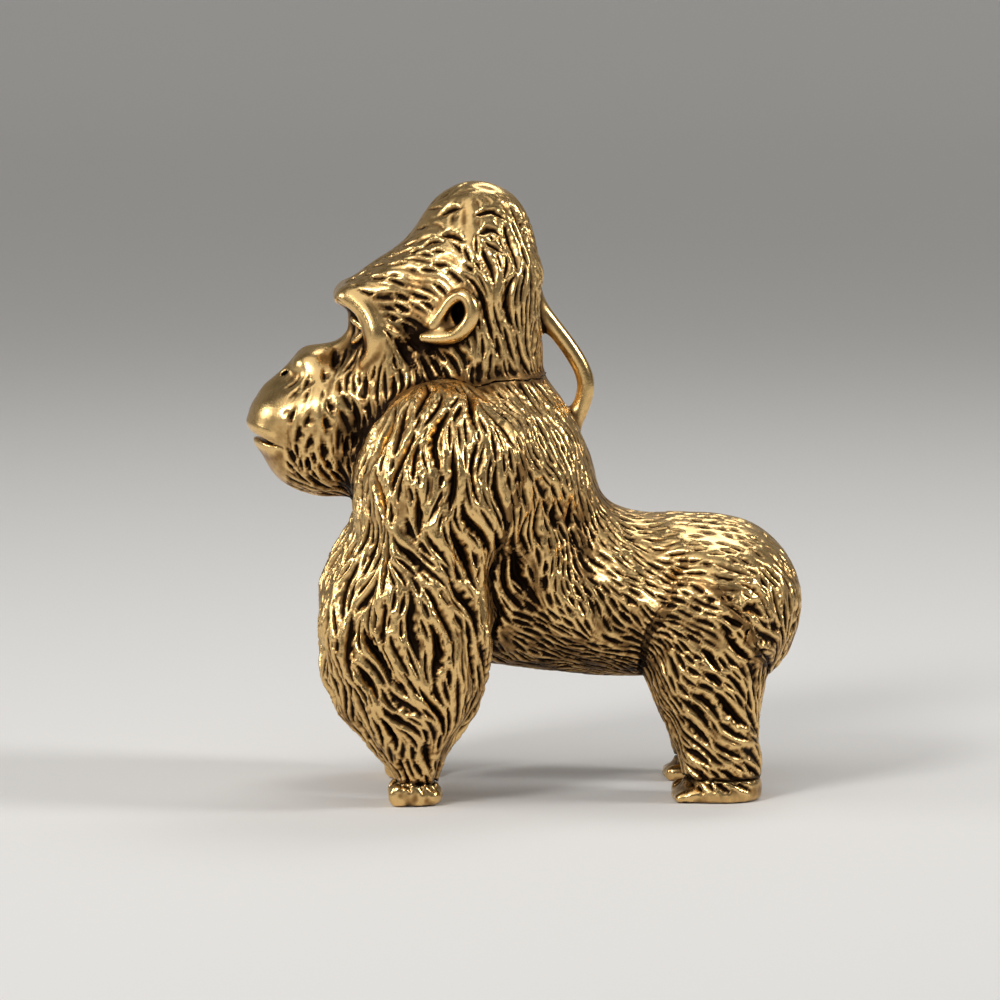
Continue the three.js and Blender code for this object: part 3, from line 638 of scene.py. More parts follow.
# The comb: places on the left side and the way that the coat lies there
COMB = np.array([
    # Shoulder and upper arm
    [(8, -8.0, 22.5), (0.3, -0.35, -0.9)],
    [(7, -4.5, 23.5), (0.6, 0.0, -0.8)],
    [(9, -4.5, 21.0), (0.1, 0.0, -1.0)],
    [(8, -1.5, 21.5), (0.2, 0.45, -0.9)],
    [(9, -9.0, 18.0), (0.0, -0.05, -1.0)],
    [(10, -5.5, 17.5), (0.0, 0.05, -1.0)],
    [(9, -1.5, 17.0), (0.0, 0.3, -0.95)],
    [(9, -9.0, 15.0), (0.0, 0.0, -1.0)],
    [(10, -6.5, 14.5), (0.0, 0.5, -0.85)],
    [(9, -3.0, 14.5), (0.0, 0.4, -0.9)],
    # Forearm
    [(9, -10.5, 13.0), (0.0, -0.6, -0.8)],
    [(10, -7.0, 12.0), (0.0, 0.3, -0.95)],
    [(10, -3.5, 12.0), (0.0, 0.6, -0.8)],
    [(9, -12.0, 10.0), (0.0, -0.1, -1.0)],
    [(11, -8.0, 9.5), (0.0, 0.3, -0.95)],
    [(10, -4.0, 9.0), (0.0, 0.55, -0.83)],
    [(9, -11.3, 6.5), (0.0, 0.5, -0.85)],
    [(10, -7.0, 6.0), (-0.1, 0.65, -0.75)],
    [(9, -3.5, 6.5), (-0.1, 0.1, -1.0)],
    [(8, -9.0, 3.5), (-0.2, 0.45, -0.9)],
    [(8, -6.5, 3.0), (-0.2, 0.3, -0.95)],
    [(7, -4.0, 4.0), (-0.2, -0.45, -0.9)],
    # Back, flank and belly
    [(0, 1.5, 23.0), (0.0, 0.5, -0.85)],
    [(5, 1.0, 21.0), (0.2, 0.5, -0.85)],
    [(6, 2.5, 17.0), (0.1, 0.5, -0.85)],
    [(6, 2.0, 12.5), (0.0, 0.45, -0.9)],
    [(6, 5.0, 13.0), (0.0, 0.75, -0.66)],
    [(6, 4.0, 8.5), (0.0, 0.9, -0.4)],
    [(0, 5.5, 17.0), (0.0, 0.9, -0.4)],
    [(0, 2.0, 7.0), (0.0, 1.0, 0.0)],
    [(0, -9.0, 14.0), (0.0, 0.0, -1.0)],
    # Rump and leg
    [(4, 9.5, 15.0), (0.0, 0.97, -0.2)],
    [(5, 10.0, 12.0), (0.0, 0.9, -0.4)],
    [(0, 13.0, 16.0), (0.0, 0.95, -0.3)],
    [(4, 14.5, 13.5), (0.0, 0.6, -0.8)],
    [(3, 16.0, 11.0), (0.0, 0.0, -1.0)],
    [(7, 9.0, 8.5), (0.0, 0.75, -0.65)],
    [(7, 12.0, 8.0), (0.0, 0.8, -0.6)],
    [(7, 9.5, 4.5), (0.0, 0.86, -0.5)],
    [(6, 12.5, 4.0), (0.0, 0.8, -0.6)],
    # Head
    [(0, -3.0, 36.0), (0.0, 0.9, 0.3)],
    [(2, -8.0, 31.0), (0.2, 0.9, 0.1)],
    [(3, -6.0, 32.0), (0.1, 0.9, -0.3)],
    [(4, -7.5, 29.0), (0.1, 0.85, -0.5)],
    [(4, -6.0, 28.5), (0.0, 0.8, -0.6)],
    [(3, -3.0, 33.0), (0.1, 0.3, -0.95)],
    [(2, -0.5, 32.0), (0.1, 0.1, -1.0)],
    [(0, 1.0, 30.0), (0.0, 0.0, -1.0)],
    [(4, -2.0, 26.0), (0.0, 0.1, -1.0)],
    [(4, -8.0, 24.5), (0.1, 0.1, -1.0)],
    [(4, -10.5, 22.5), (0.1, -0.2, -1.0)],
    [(3, -13.0, 22.5), (0.1, -0.2, -1.0)],
    [(3, -12.0, 18.5), (-0.2, 0.7, -0.7)],
], float)

# Coats: place and size on the left side, then gap, length and depths of locks, strands and hairs
COATS = [
    # Arm, shoulder blade, flank, hollow behind the arm, upper back
    ((7.5, -6, 13), (12, 16, 28), 1.00, 1.00, 1.00, 1.00, 0.8),
    ((6, 2, 20), (10, 8, 9), 0.85, 0.60, 0.45, 0.85, 0.7),
    ((5, 5, 12), (10, 12, 14), 0.75, 0.62, 0.00, 0.85, 0.6),
    ((5.5, 0, 11), (5, 7, 12), 0.75, 0.65, 0.00, 0.90, 0.6),
    ((0, 4, 22), (6, 10, 10), 1.00, 0.40, 0.00, 0.50, 0.3),
    # Top of the rump, tufts under it, leg
    ((0, 10, 16), (16, 14, 8), 1.15, 0.36, 0.00, 0.55, 0.0),
    ((5, 13, 10.5), (8, 6, 6), 1.00, 0.80, 1.00, 0.90, 0.8),
    ((6, 11, 5), (9, 10, 10), 0.75, 0.75, 0.75, 0.70, 0.7),
    # Crown, side of the forehead, back of the head
    ((0, -4, 34), (9, 9, 6), 1.50, 0.60, 0.00, 0.35, 0.2),
    ((3, -7, 30), (8, 8, 6), 0.80, 0.55, 0.20, 0.85, 0.7),
    ((2, 0, 29), (10, 7, 12), 0.95, 1.10, 0.80, 0.85, 0.5),
    # Cheek, side of the muzzle, jaw
    ((4, -8.5, 24), (6, 8, 6), 0.85, 0.75, 0.50, 0.90, 0.7),
    ((3, -12.5, 22.5), (8, 5, 5), 1.30, 0.40, 0.00, 0.55, 0.3),
    ((3, -11, 18.5), (9, 9, 6), 0.75, 0.50, 0.40, 1.00, 1.0),
]

# Sizes of the three sorts of stroke: gap, length, width and depth
LOCKS = (0.98, 4.0, 0.22, 0.56)
STRANDS = (0.47, 1.9, 0.14, 0.30)
HAIRS = (0.24, 0.9, 0.07, 0.08)

# Columns of the coats with their depths, and how many places are tried for each sort
LOCK_DEPTH, STRAND_DEPTH, HAIR_DEPTH = 2, 3, 4
LOCK_TRIES = 9000
STRAND_TRIES = 36000
HAIR_TRIES = 40000

# Where the coat asks for less than this share of a sort's depth, there is none of it
LEAST_SHARE = 0.15

# How clear a stroke keeps of others, as shares of its gap: its start and its length from earlier sorts,
# and its length from its own sort
EARLIER_START = 0.8
EARLIER_LINE = 0.35
OWN_LINE = 0.42

# Strokes vary by these shares, and half of the longest is this share of its sort's length.
# With fewer free points than the least there is no stroke, and a close coat has narrower ones.
VARIETY = (0.6, 1.25)
LONGEST = 0.9
SHORTEST_STEPS = 2
LEAST_POINTS = 5
NARROWEST = 0.5

# How a stroke thins: the steps from its end to nothing, the curve's power, and the width that is left
END_SHIFT = 0.7
FULLNESS = 0.6
THIN_END = 0.4

# Waves as three slopes and a start, for the wander of the coat and for the grain of its grooves
RIPPLE = 0.18
RIPPLE_WAVES = [(1.3, 0.4, 0.6, 0.3), (-0.5, 1.0, 0.8, 1.7), (0.3, -0.8, 1.4, 4.1), (2.2, 1.9, -0.6, 2.9)]
GRAIN_WAVES = [(9.1, 4.3, 6.2, 0.3), (-5.2, 10.4, 3.9, 1.7), (6.6, -7.3, 9.7, 4.1), (13.0, 9.0, -8.0, 2.9)]

# How softly the comb's places and the coats run into each other
COMB_SOFTNESS = 1.0
COAT_SOFTNESS = 1e-3

# Bare skin: the muzzle's front, the nose, the eye and the ear, and a strip along each rim and ridge
MUZZLE_FRONT = -13.9
BARE_AREAS = [
    ((0, -12.6, 25.2), (4.4, 3.4, 2.6)),
    ((2.0, -10.4, 27.2), (4.0, 3.2, 2.6)),
    ((4.8, -4.3, 28.2), (2.0, 2.2, 2.6)),
]
BARE_STRIPS = [
    (BROW_RIM, 0.75),
    (NOSE_BRIDGE, 0.9),
    (NOSE_FRONT, 1.1),
    (EAR_RIM, 0.55),
    (CROWN_RIDGE, 0.25),
]

# Below these heights hands and feet are bare, the toes before one length and the heel behind another
HAND_TOP = 0.95
SOLE_TOP = 0.75
TOES_TOP = 1.0
TOES_END = 9.8
HEEL_TOP = 1.5
HEEL_START = 12.8


def rounded(points, at, size):
    """How far inside an ellipsoid each point is: 1 at its middle, 0 at its surface and outside."""
    offset = (points - np.array(at)) / (np.array(size) / 2)
    return np.clip(1 - np.linalg.norm(offset, axis=1), 0, 1)


def folded(points):
    """Points moved to the left side, with the sign of the side that they came from."""
    side = np.where(points[:, :1] < 0, -1.0, 1.0)
    return points * np.hstack([side, np.ones((len(points), 2))]), side


def waves_at(points, waves):
    """The sum of some waves at each point."""
    return sum(np.sin(points @ np.array(wave[:3]) + wave[3]) for wave in waves)


def ripple(points):
    """A smooth wander of the coat, in radians."""
    return RIPPLE * waves_at(points, RIPPLE_WAVES)


def grain(points):
    """A fine unevenness, about -1 to 1."""
    return waves_at(points, GRAIN_WAVES) / 2


def flow(points, normals):
    """The way that the coat lies at each point, along the surface."""
    left, side = folded(points)
    apart = ((left[:, None, :] - COMB[None, :, 0]) ** 2).sum(axis=2)
    way = (1 / (apart + COMB_SOFTNESS) ** 2) @ COMB[:, 1]
    way[:, :1] *= side
    way = unit(way - (way * normals).sum(axis=1, keepdims=True) * normals)
    turn = ripple(points)[:, None]
    return way * np.cos(turn) + np.cross(normals, way) * np.sin(turn)


def coat(points):
    """The coat's gap, length and three depths at each point."""
    left, _ = folded(points)
    weights = [rounded(left, at, size) + COAT_SOFTNESS for at, size, *_ in COATS]
    weights = np.stack(weights, axis=1) ** 2
    values = np.array([row[2:] for row in COATS])
    return (weights @ values) / weights.sum(axis=1, keepdims=True)


def path_gap(points, stations):
    """How far each point is from a curve."""
    nearest = np.full(len(points), np.inf)
    for place in smooth_path(stations)[:, :3]:
        nearest = np.minimum(nearest, ((points - place) ** 2).sum(axis=1))
    return np.sqrt(nearest)


def furred(points):
    """Where fur grows: not on the bare skin of the face, and not on the hands and feet."""
    left, _ = folded(points)
    _, y, z = left.T
    bare = y < MUZZLE_FRONT
    for at, size in BARE_AREAS:
        bare |= rounded(left, at, size) > 0
    for line, reach in BARE_STRIPS:
        bare |= path_gap(left, line) < reach
    hind = y >= 0
    bare |= ~hind & (z < HAND_TOP)
    bare |= hind & (z < SOLE_TOP)
    bare |= hind & (y < TOES_END) & (z < TOES_TOP)
    bare |= (y > HEEL_START) & (z < HEEL_TOP)
    return ~bare


def trace(starts, steps):
    """Combed lines through each start, as an array of (line, step, xyz)."""
    halves = []
    for way in (-1, 1):
        points, line = starts.copy(), []
        for _ in range(steps):
            normals = slope(body, points)
            points = points + way * STROKE_STEP * flow(points, normals)
            points -= sample(body, points)[:, None] * slope(body, points)
            line.append(points)
        halves.append(line)
    return np.stack(halves[0][::-1] + [starts] + halves[1], axis=1)


class Occupancy:
    """A map of where strokes already are, in cells, with a margin and the farthest fill in cells."""
    CELL = 0.13
    REACH = 9
    MARGIN = 20

    def __init__(self):
        self.origin = lowest - self.MARGIN * self.CELL
        cells = np.ceil((highest - lowest) / self.CELL).astype(int)
        self.taken = np.zeros(cells + 2 * self.MARGIN, bool)
        span = np.arange(-self.REACH, self.REACH + 1)
        self.offsets = np.stack(np.meshgrid(span, span, span, indexing="ij"), -1).reshape(-1, 3)
        self.apart = np.linalg.norm(self.offsets, axis=1) * self.CELL

    def cells(self, points):
        cells = np.floor((points - self.origin) / self.CELL).astype(int)
        return np.clip(cells, self.REACH, np.array(self.taken.shape) - self.REACH - 1)

    def free(self, points):
        return ~self.taken[tuple(self.cells(points).T)]

    def fill(self, points, gap):
        around = self.offsets[self.apart < gap]
        cells = self.cells(points)[:, None, :] + around[None]
        self.taken[tuple(cells.reshape(-1, 3).T)] = True


def tapering(count):
    """A stroke's fullness along its length: thin at both ends."""
    share = (np.arange(count) + END_SHIFT) / (count - 1 + 2 * END_SHIFT)
    return np.sin(math.pi * share) ** FULLNESS


class Strokes:
    """Grooves of one sort, as samples with a tangent, a width, a depth and a lean."""

    def __init__(self):
        self.lines, self.widths, self.depths, self.leans = [], [], [], []

    def add(self, line, width, depth, lean):
        """Adds a stroke that is thin and shallow at both ends."""
        swell = tapering(len(line))
        self.lines.append(line)
        self.widths.append(width * (THIN_END + (1 - THIN_END) * swell))
        self.depths.append(depth * swell)
        self.leans.append(np.full(len(line), lean) * swell)

    def arrays(self):
        tangents = [unit(np.gradient(line, axis=0)) for line in self.lines]
        columns = (self.lines, tangents, self.widths, self.depths, self.leans)
        return tuple(np.concatenate(column) for column in columns)


def open_steps(free):
    """How many steps of a line are free before the first that isn't."""
    return len(free) if free.all() else int(np.argmin(free))


def comb_strokes(starts, sizes, depth_column, earlier, rng):
    """Strokes that keep their gap from each other and from earlier sorts."""
    gap, length, width, depth = sizes
    starts = starts[rng.permutation(len(starts))]
    coats = coat(starts)
    steps = int(LONGEST * length / STROKE_STEP)
    lines = trace(starts, steps)
    places = lines.reshape(-1, 3)
    grows = (furred(places) & (np.abs(sample(body, places)) < SKIN)).reshape(lines.shape[:2])
    begin, near = Occupancy(), Occupancy()
    for sort in earlier:
        for line in sort.lines:
            begin.fill(line, EARLIER_START * gap)
            near.fill(line, EARLIER_LINE * gap)
    made = Strokes()
    variety = rng.uniform(*VARIETY, (len(starts), 3))
    leans = rng.uniform(-1, 1, len(starts))
    for n, line in enumerate(lines):
        gap_scale, length_scale = coats[n, :2]
        share = coats[n, depth_column]
        if share < LEAST_SHARE or not grows[n, steps] or not begin.free(line[steps:steps + 1])[0]:
            continue
        long, broad, deep = variety[n]
        reach = int(0.5 * length * length_scale * long / STROKE_STEP)
        reach = max(SHORTEST_STEPS, min(reach, steps))
        span = slice(steps - reach, steps + reach + 1)
        free = near.free(line[span]) & grows[n, span]
        after = open_steps(free[reach:])
        before = open_steps(free[reach::-1])
        if after + before < LEAST_POINTS:
            continue
        kept = line[steps - before + 1:steps + after]
        scale = NARROWEST + (1 - NARROWEST) * gap_scale
        made.add(kept, width * broad * scale, depth * share * deep, leans[n])
        begin.fill(kept[::2], gap * gap_scale)
        near.fill(kept, OWN_LINE * gap * gap_scale)
    return made


# The boldest marks of the coat: width, depth and a line of (y, z) on the side of the body
MARK_STEPS = 10
BOLD_MARKS = [
    # Crown, before and behind its ridge
    (0.19, 0.38, [(-4.95, 33.9), (-4.4, 34.25), (-3.85, 34.3)]),
    (0.19, 0.40, [(-4.95, 32.8), (-4.3, 32.85), (-3.7, 32.5)]),
    (0.15, 0.30, [(-6.0, 32.1), (-5.5, 32.45), (-4.9, 32.45)]),
    (0.19, 0.40, [(-2.9, 33.9), (-2.0, 34.2), (-1.15, 33.7)]),
    (0.20, 0.42, [(-2.7, 32.9), (-2.0, 33.2), (-1.35, 32.8)]),
    (0.18, 0.38, [(-2.4, 32.45), (-1.8, 32.2), (-1.25, 31.8)]),
    # Fringe of the shoulder
    (0.24, 0.55, [(1.5, 17.4), (1.55, 16.6), (1.8, 16.0)]),
    (0.22, 0.50, [(2.55, 17.4), (2.5, 16.6), (2.35, 15.95)]),
    (0.26, 0.60, [(0.6, 17.4), (0.55, 16.2), (0.75, 15.1)]),
    (0.22, 0.50, [(-0.05, 16.9), (-0.3, 15.8), (-0.1, 14.8)]),
    # Hollow behind the arm
    (0.24, 0.50, [(-0.85, 14.8), (-0.7, 13.4), (-0.1, 12.4)]),
    (0.22, 0.45, [(-1.4, 14.4), (-1.3, 12.7), (-0.4, 11.4)]),
    # Tufts under the rump
    (0.30, 0.60, [(12.3, 11.4), (13.0, 11.6), (13.6, 11.0)]),
    (0.32, 0.65, [(12.6, 10.3), (12.9, 9.7), (13.1, 9.1)]),
    (0.28, 0.50, [(14.1, 10.5), (14.65, 10.1)]),
    (0.20, 0.45, [(11.1, 11.1), (11.8, 10.7), (12.3, 10.5)]),
    (0.20, 0.40, [(13.55, 13.2), (13.95, 12.55)]),
    (0.14, 0.32, [(13.8, 13.7), (14.35, 13.15), (14.7, 12.7)]),
    # Thigh
    (0.24, 0.55, [(9.9, 9.2), (10.55, 8.55), (11.1, 7.8)]),
    (0.22, 0.50, [(10.1, 7.75), (10.7, 7.4), (11.1, 6.95)]),
    (0.16, 0.40, [(10.9, 8.7), (11.5, 8.0)]),
]


def bold_marks():
    """The marks on the left side, and the same on the right."""
    made = Strokes()
    for width, depth, line in BOLD_MARKS:
        left = on_left_side(smooth_path(line, MARK_STEPS))
        made.add(left, width, depth, 0)
        made.add(left * FLIP, width, depth, 0)
    return made


# A groove's profile: a round share and a sharp share, the sharp one's width, the width of its leaning
# edges and its unevenness, as shares of the stroke's width
ROUND_SHARE = 0.45
SHARP_SHARE = 0.55
SHARP_WIDTH = 1.3
EDGE_WIDTH = 1.8
UNEVENNESS = 0.15

# How far the edges of locks and strands lean up on one side
LOCK_LEAN = 0.5
STRAND_LEAN = 0.4


def carve(points, normals, strokes, lean):
    """How deep one sort of stroke is cut at each point."""
    places, tangents, widths, depths, leans = strokes.arrays()
    tree = KDTree(len(places))
    for n, place in enumerate(places):
        tree.insert(place, n)
    tree.balance()
    nearest = np.array([tree.find(p)[1] for p in points])
    offset = points - places[nearest]
    across = (offset * np.cross(normals, tangents[nearest])).sum(axis=1)
    along = np.abs((offset * tangents[nearest]).sum(axis=1))
    near = np.hypot(across, np.maximum(along - STROKE_STEP / 2, 0))
    near = near / widths[nearest] * (1 + UNEVENNESS * grain(points))
    profile = ROUND_SHARE * np.exp(-near ** 2) + SHARP_SHARE * np.exp(-near / SHARP_WIDTH)
    tilt = leans[nearest] * across / widths[nearest] * np.exp(-(near / EDGE_WIDTH) ** 2)
    return depths[nearest] * (profile + lean * tilt)


# Around the neck a shallow crease runs under the head's fur, and strokes end at its rim
NECK_HEIGHTS = (20.0, 22.0)
NECK_DEPTH = 0.13
NECK_WIDTH = 0.45
NECK_RIM = 0.22


def near_neck(points, width):
    """1 on the seam between the head and the shoulders, and 0 away from it."""
    return rise(points[:, 2], *NECK_HEIGHTS) * np.exp(-(sample(neck, points) / width) ** 2)


# Meshes

def mesh_object(name, points, quads):
    """A smooth-shaded object in metres."""
    mesh = bpy.data.meshes.new(name)
    mesh.vertices.add(len(points))
    mesh.vertices.foreach_set("co", (points / MM).astype(np.float32).ravel())
    mesh.loops.add(quads.size)
    mesh.loops.foreach_set("vertex_index", quads.astype(np.int32).ravel())
    mesh.polygons.add(len(quads))
    mesh.polygons.foreach_set("loop_start", np.arange(0, quads.size, 4, dtype=np.int32))
    mesh.polygons.foreach_set("use_smooth", np.ones(len(quads), bool))
    mesh.update(calc_edges=True)
    item = bpy.data.objects.new(name, mesh)
    bpy.context.scene.collection.objects.link(item)
    return item


def move_points(item, points):
    """Puts a mesh's vertices at points in millimetres."""
    item.data.vertices.foreach_set("co", (points / MM).astype(np.float32).ravel())
    item.data.update()


def set_attribute(item, name, values):
    layer = item.data.attributes.new(name, "FLOAT", "POINT")
    layer.data.foreach_set("value", np.asarray(values, np.float32))


def normals_of(item):
    values = np.empty(len(item.data.vertices) * 3, np.float32)
    item.data.vertex_normals.foreach_get("vector", values)
    return values.reshape(-1, 3)


def relief(item, passes):
    """How far each point stands out of the smoothed surface, in millimetres."""
    points, _ = mesh_arrays(item.data)
    edges = np.empty(len(item.data.edges) * 2, np.int32)
    item.data.edges.foreach_get("vertices", edges)
    a, b = edges.reshape(-1, 2).T
    degree = np.bincount(a, minlength=len(points)) + np.bincount(b, minlength=len(points))
    smooth = points.astype(float)
    for _ in range(passes):
        total = []
        for values in smooth.T:
            total.append(np.bincount(a, values[b], len(points)) + np.bincount(b, values[a], len(points)))
        smooth = np.stack(total, axis=1) / degree[:, None]
    return ((points - smooth) * normals_of(item)).sum(axis=1)


# Materials: colours, and the value of patina and painted light at which each is reached
CLEAN_BRASS = (0.82, 0.55, 0.23, 1)
DULL_BRASS = (0.34, 0.19, 0.068, 1)
GRIME_AND_SHADE = (0.013, 0.007, 0.004, 1)
CLEAN_AT = 0.12
DULL_AT = 0.42
GRIME_AND_SHADE_AT = 0.78

# Unevenness of the patina: features a metre, detail and strength
BLOTCHES = (420, 4, 0.22)
SPECKS = (3200, 3, 0.16)

# Roughness where the brass is clean and where it is grimy, and how wear changes it
FUR_POLISH = 0.25
BARE_POLISH = 0.21
ROUGHEST = 0.58
WEAR_SCALE = 1500
WEAR_DETAIL = 5
WEAR = (-0.07, 0.09)

# Fine pits of the casting, in features a metre and in metres
PIT_SCALE = 7000
PIT_DETAIL = 4
PIT_STRENGTH = 0.35
PIT_DEPTH = 0.00003


def noise(nodes, links, scale, detail):
    """A noise texture in the object's own coordinates, in features a metre."""
    place = nodes.new("ShaderNodeTexCoord")
    texture = nodes.new("ShaderNodeTexNoise")
    texture.inputs["Scale"].default_value = scale
    texture.inputs["Detail"].default_value = detail
    links.new(place.outputs["Object"], texture.inputs["Vector"])
    return texture.outputs["Fac"]


def spread(nodes, links, value, low, high):
    """A value from 0 to 1 brought to another range."""
    node = nodes.new("ShaderNodeMapRange")
    node.inputs["To Min"].default_value = low
    node.inputs["To Max"].default_value = high
    links.new(value, node.inputs["Value"])
    return node.outputs["Result"]


def plus(nodes, links, a, b):
    """The sum of two values."""
    node = nodes.new("ShaderNodeMath")
    links.new(a, node.inputs[0])
    links.new(b, node.inputs[1])
    return node.outputs["Value"]


def colour_of_patina_and_painted_light(nodes, links, patina_and_painted_light):
    """Clean brass, dull brass and grime, by how much patina and painted shade there is."""
    ramp = nodes.new("ShaderNodeValToRGB")
    clean, darkest = ramp.color_ramp.elements
    clean.position = CLEAN_AT
    clean.color = CLEAN_BRASS
    darkest.position = GRIME_AND_SHADE_AT
    darkest.color = GRIME_AND_SHADE
    ramp.color_ramp.elements.new(DULL_AT).color = DULL_BRASS
    links.new(patina_and_painted_light, ramp.inputs["Fac"])
    return ramp.outputs["Color"]


def pits(nodes, links):
    """The fine pits of cast metal, as a bumped normal."""
    bump = nodes.new("ShaderNodeBump")
    bump.inputs["Strength"].default_value = PIT_STRENGTH
    bump.inputs["Distance"].default_value = PIT_DEPTH
    links.new(noise(nodes, links, PIT_SCALE, PIT_DETAIL), bump.inputs["Height"])
    return bump.outputs["Normal"]


def brass_material(name, polish):
    """Cast brass: grime in the grooves, dull brass on the slopes and clean brass where hands rub it, with
    painted light on upper faces and painted shade in creases and on lower faces.
    """
    material = bpy.data.materials.new(name)
    material.use_nodes = True
    nodes, links = material.node_tree.nodes, material.node_tree.links
    shader = nodes["Principled BSDF"]
    shader.inputs["Metallic"].default_value = 1.0
    # The attribute holds patina together with painted light and painted shade
    groove = nodes.new("ShaderNodeAttribute")
    groove.attribute_name = "patina_and_painted_light"
    patina_and_painted_light = groove.outputs["Fac"]
    for scale, detail, strength in (BLOTCHES, SPECKS):
        uneven = spread(nodes, links, noise(nodes, links, scale, detail), -strength, strength)
        patina_and_painted_light = plus(nodes, links, patina_and_painted_light, uneven)
    wear = spread(nodes, links, noise(nodes, links, WEAR_SCALE, WEAR_DETAIL), *WEAR)
    dullness = spread(nodes, links, patina_and_painted_light, polish, ROUGHEST)
    links.new(colour_of_patina_and_painted_light(nodes, links, patina_and_painted_light), shader.inputs["Base Color"])
    links.new(plus(nodes, links, dullness, wear), shader.inputs["Roughness"])
    links.new(pits(nodes, links), shader.inputs["Normal"])
    return material


# Patina and painted light: what every place has, less on raised places, painted light on upper faces and
# painted shade on lower ones, and more in hollows, as patina and painted shade
PATINA = 0.44
UPPER_PAINTED_LIGHT = 0.32
RAISED = 0.10
# Hollows darken with patina and with painted shade of the creases
HOLLOW_GRIME_AND_SHADE = 0.5
HOLLOW_DEPTH = 0.3
RELIEF_PASSES = 14

# Low on the hind quarters painted shade darkens the brass, from the first length and height to the second
PAINTED_LOW_SHADE = 0.12
LOW_SHADE_LENGTHS = (-1.0, 3.0)
LOW_SHADE_HEIGHTS = (11.0, 15.0)

# Along a seam nothing is rubbed bright, and at the neck painted shade darkens the crease
SEAM_WIDTH = 0.15
NECK_PAINTED_SHADE = 0.12

# On the head, bare skin shines, a painted highlight brightens each eye, and the crown's ridge is darker
SKIN_SHINE = 0.15
EYE_PAINTED_HIGHLIGHT = 0.5
EYE_REACH = 2.2
RIDGE_DARKENING = 0.35
RIDGE_REACH = 0.5


def head_patina_and_highlight(points):
    """What the head's bare skin, the painted highlight on the eyes and the darker crown ridge add to its
    patina.
    """
    left, _ = folded(points)
    skin = np.where(furred(points), 0, SKIN_SHINE)
    # A painted highlight around each eye
    eye = EYE_PAINTED_HIGHLIGHT * rounded(left, EYE, (EYE_REACH,) * 3)
    # The crown's ridge is darkened
    ridge = RIDGE_DARKENING * np.exp(-(path_gap(left, CROWN_RIDGE) / RIDGE_REACH) ** 2)
    return ridge - skin - eye


def patina_and_painted_light_of(name, height, points, normals):
    """The patina with painted light and shade at each point, from 0 to 1."""
    if name != LOOP:
        seam = sample(parting_of(name), points) > -SEAM_WIDTH
        height = np.where(seam, np.minimum(height, 0), height)
    hollow = np.clip(-sample(hollows, points) / HOLLOW_DEPTH, 0, 1)
    # Upper faces get painted light and lower faces painted shade; hollows get patina and painted shade
    patina_and_painted_light = PATINA - UPPER_PAINTED_LIGHT * normals[:, 2] - height / RAISED + HOLLOW_GRIME_AND_SHADE * hollow
    # Painted shade low on the hind quarters
    low = 1 - rise(points[:, 2], *LOW_SHADE_HEIGHTS)
    patina_and_painted_light += PAINTED_LOW_SHADE * rise(points[:, 1], *LOW_SHADE_LENGTHS) * low
    if name != LOOP:
        # Painted shade in the crease at the neck
        patina_and_painted_light += NECK_PAINTED_SHADE * near_neck(points, NECK_WIDTH)
    if name == "head":
        patina_and_painted_light += head_patina_and_highlight(points)
    return np.clip(patina_and_painted_light, 0, 1)


# The figure

def cast(name):
    """A casting with its own details, before its fur is carved."""
    clay = casting(name)
    turned = mirrored if name.startswith("right") else unturned
    if name == "head":
        face(clay)
    if name.endswith("hand"):
        fist(clay, turned)
    if name.endswith("foot"):
        foot(clay, turned)
    if name.endswith("leg"):
        thigh(clay, turned)
    return mesh_object(name + "_cast", *clay.polygons())


def groove_depth(points, normals):
    """How deep the coat and the crease of the neck are cut at each point."""
    depth = carve(points, normals, locks, LOCK_LEAN)
    depth = np.maximum(depth, carve(points, normals, strands, STRAND_LEAN))
    depth = np.maximum(depth, carve(points, normals, marks, 0))
    depth = (depth + carve(points, normals, hairs, 0)) * (1 - near_neck(points, NECK_RIM))
    outside = np.clip(2 - np.abs(sample(body, points)) / SKIN, 0, 1)
    return outside * (depth + NECK_DEPTH * near_neck(points, NECK_WIDTH))


def some_of(places, count):
    """That many of the places, drawn at random."""
    return places[rng.choice(len(places), count)]


pieces = {name: cast(name) for name in FURRED + BARE}
pieces[LOOP] = mesh_object(LOOP + "_cast", *wire_loop().polygons())

surface = np.concatenate([mesh_arrays(pieces[name].data)[0] for name in FURRED + BARE])
surface = surface[np.abs(sample(body, surface)) < SKIN]
rng = np.random.default_rng(FUR_SEED)
marks = bold_marks()
locks = comb_strokes(some_of(surface, LOCK_TRIES), LOCKS, LOCK_DEPTH, [marks], rng)
strands = comb_strokes(some_of(surface, STRAND_TRIES), STRANDS, STRAND_DEPTH, [marks, locks], rng)
hairs = comb_strokes(some_of(surface, HAIR_TRIES), HAIRS, HAIR_DEPTH, [marks, locks, strands], rng)

furred_brass = brass_material("furred_brass", FUR_POLISH)
bare_brass = brass_material("bare_brass", BARE_POLISH)

for name, item in pieces.items():
    points, _ = mesh_arrays(item.data)
    normals = normals_of(item)
    if name != LOOP:
        move_points(item, points - normals * groove_depth(points, normals)[:, None])
    height = relief(item, RELIEF_PASSES)
    set_attribute(item, "patina_and_painted_light", patina_and_painted_light_of(name, height, points, normals))
    item.data.materials.append(furred_brass if name in FURRED else bare_brass)
    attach(item, "root")
    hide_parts(name)


# Studio: sizes and places in metres

PALE = (0.78, 0.765, 0.74, 1)
PALE_ROUGHNESS = 0.85
DIM = (0.10, 0.097, 0.093, 1)

# Floor and wall: half the floor's width, the wall's foot, the bend between them and the wall's top
FLOOR_REACH = 1.6
WALL_FOOT = -0.7
BEND = 0.35
BEND_STEP = 6
WALL_TOP = 1.4

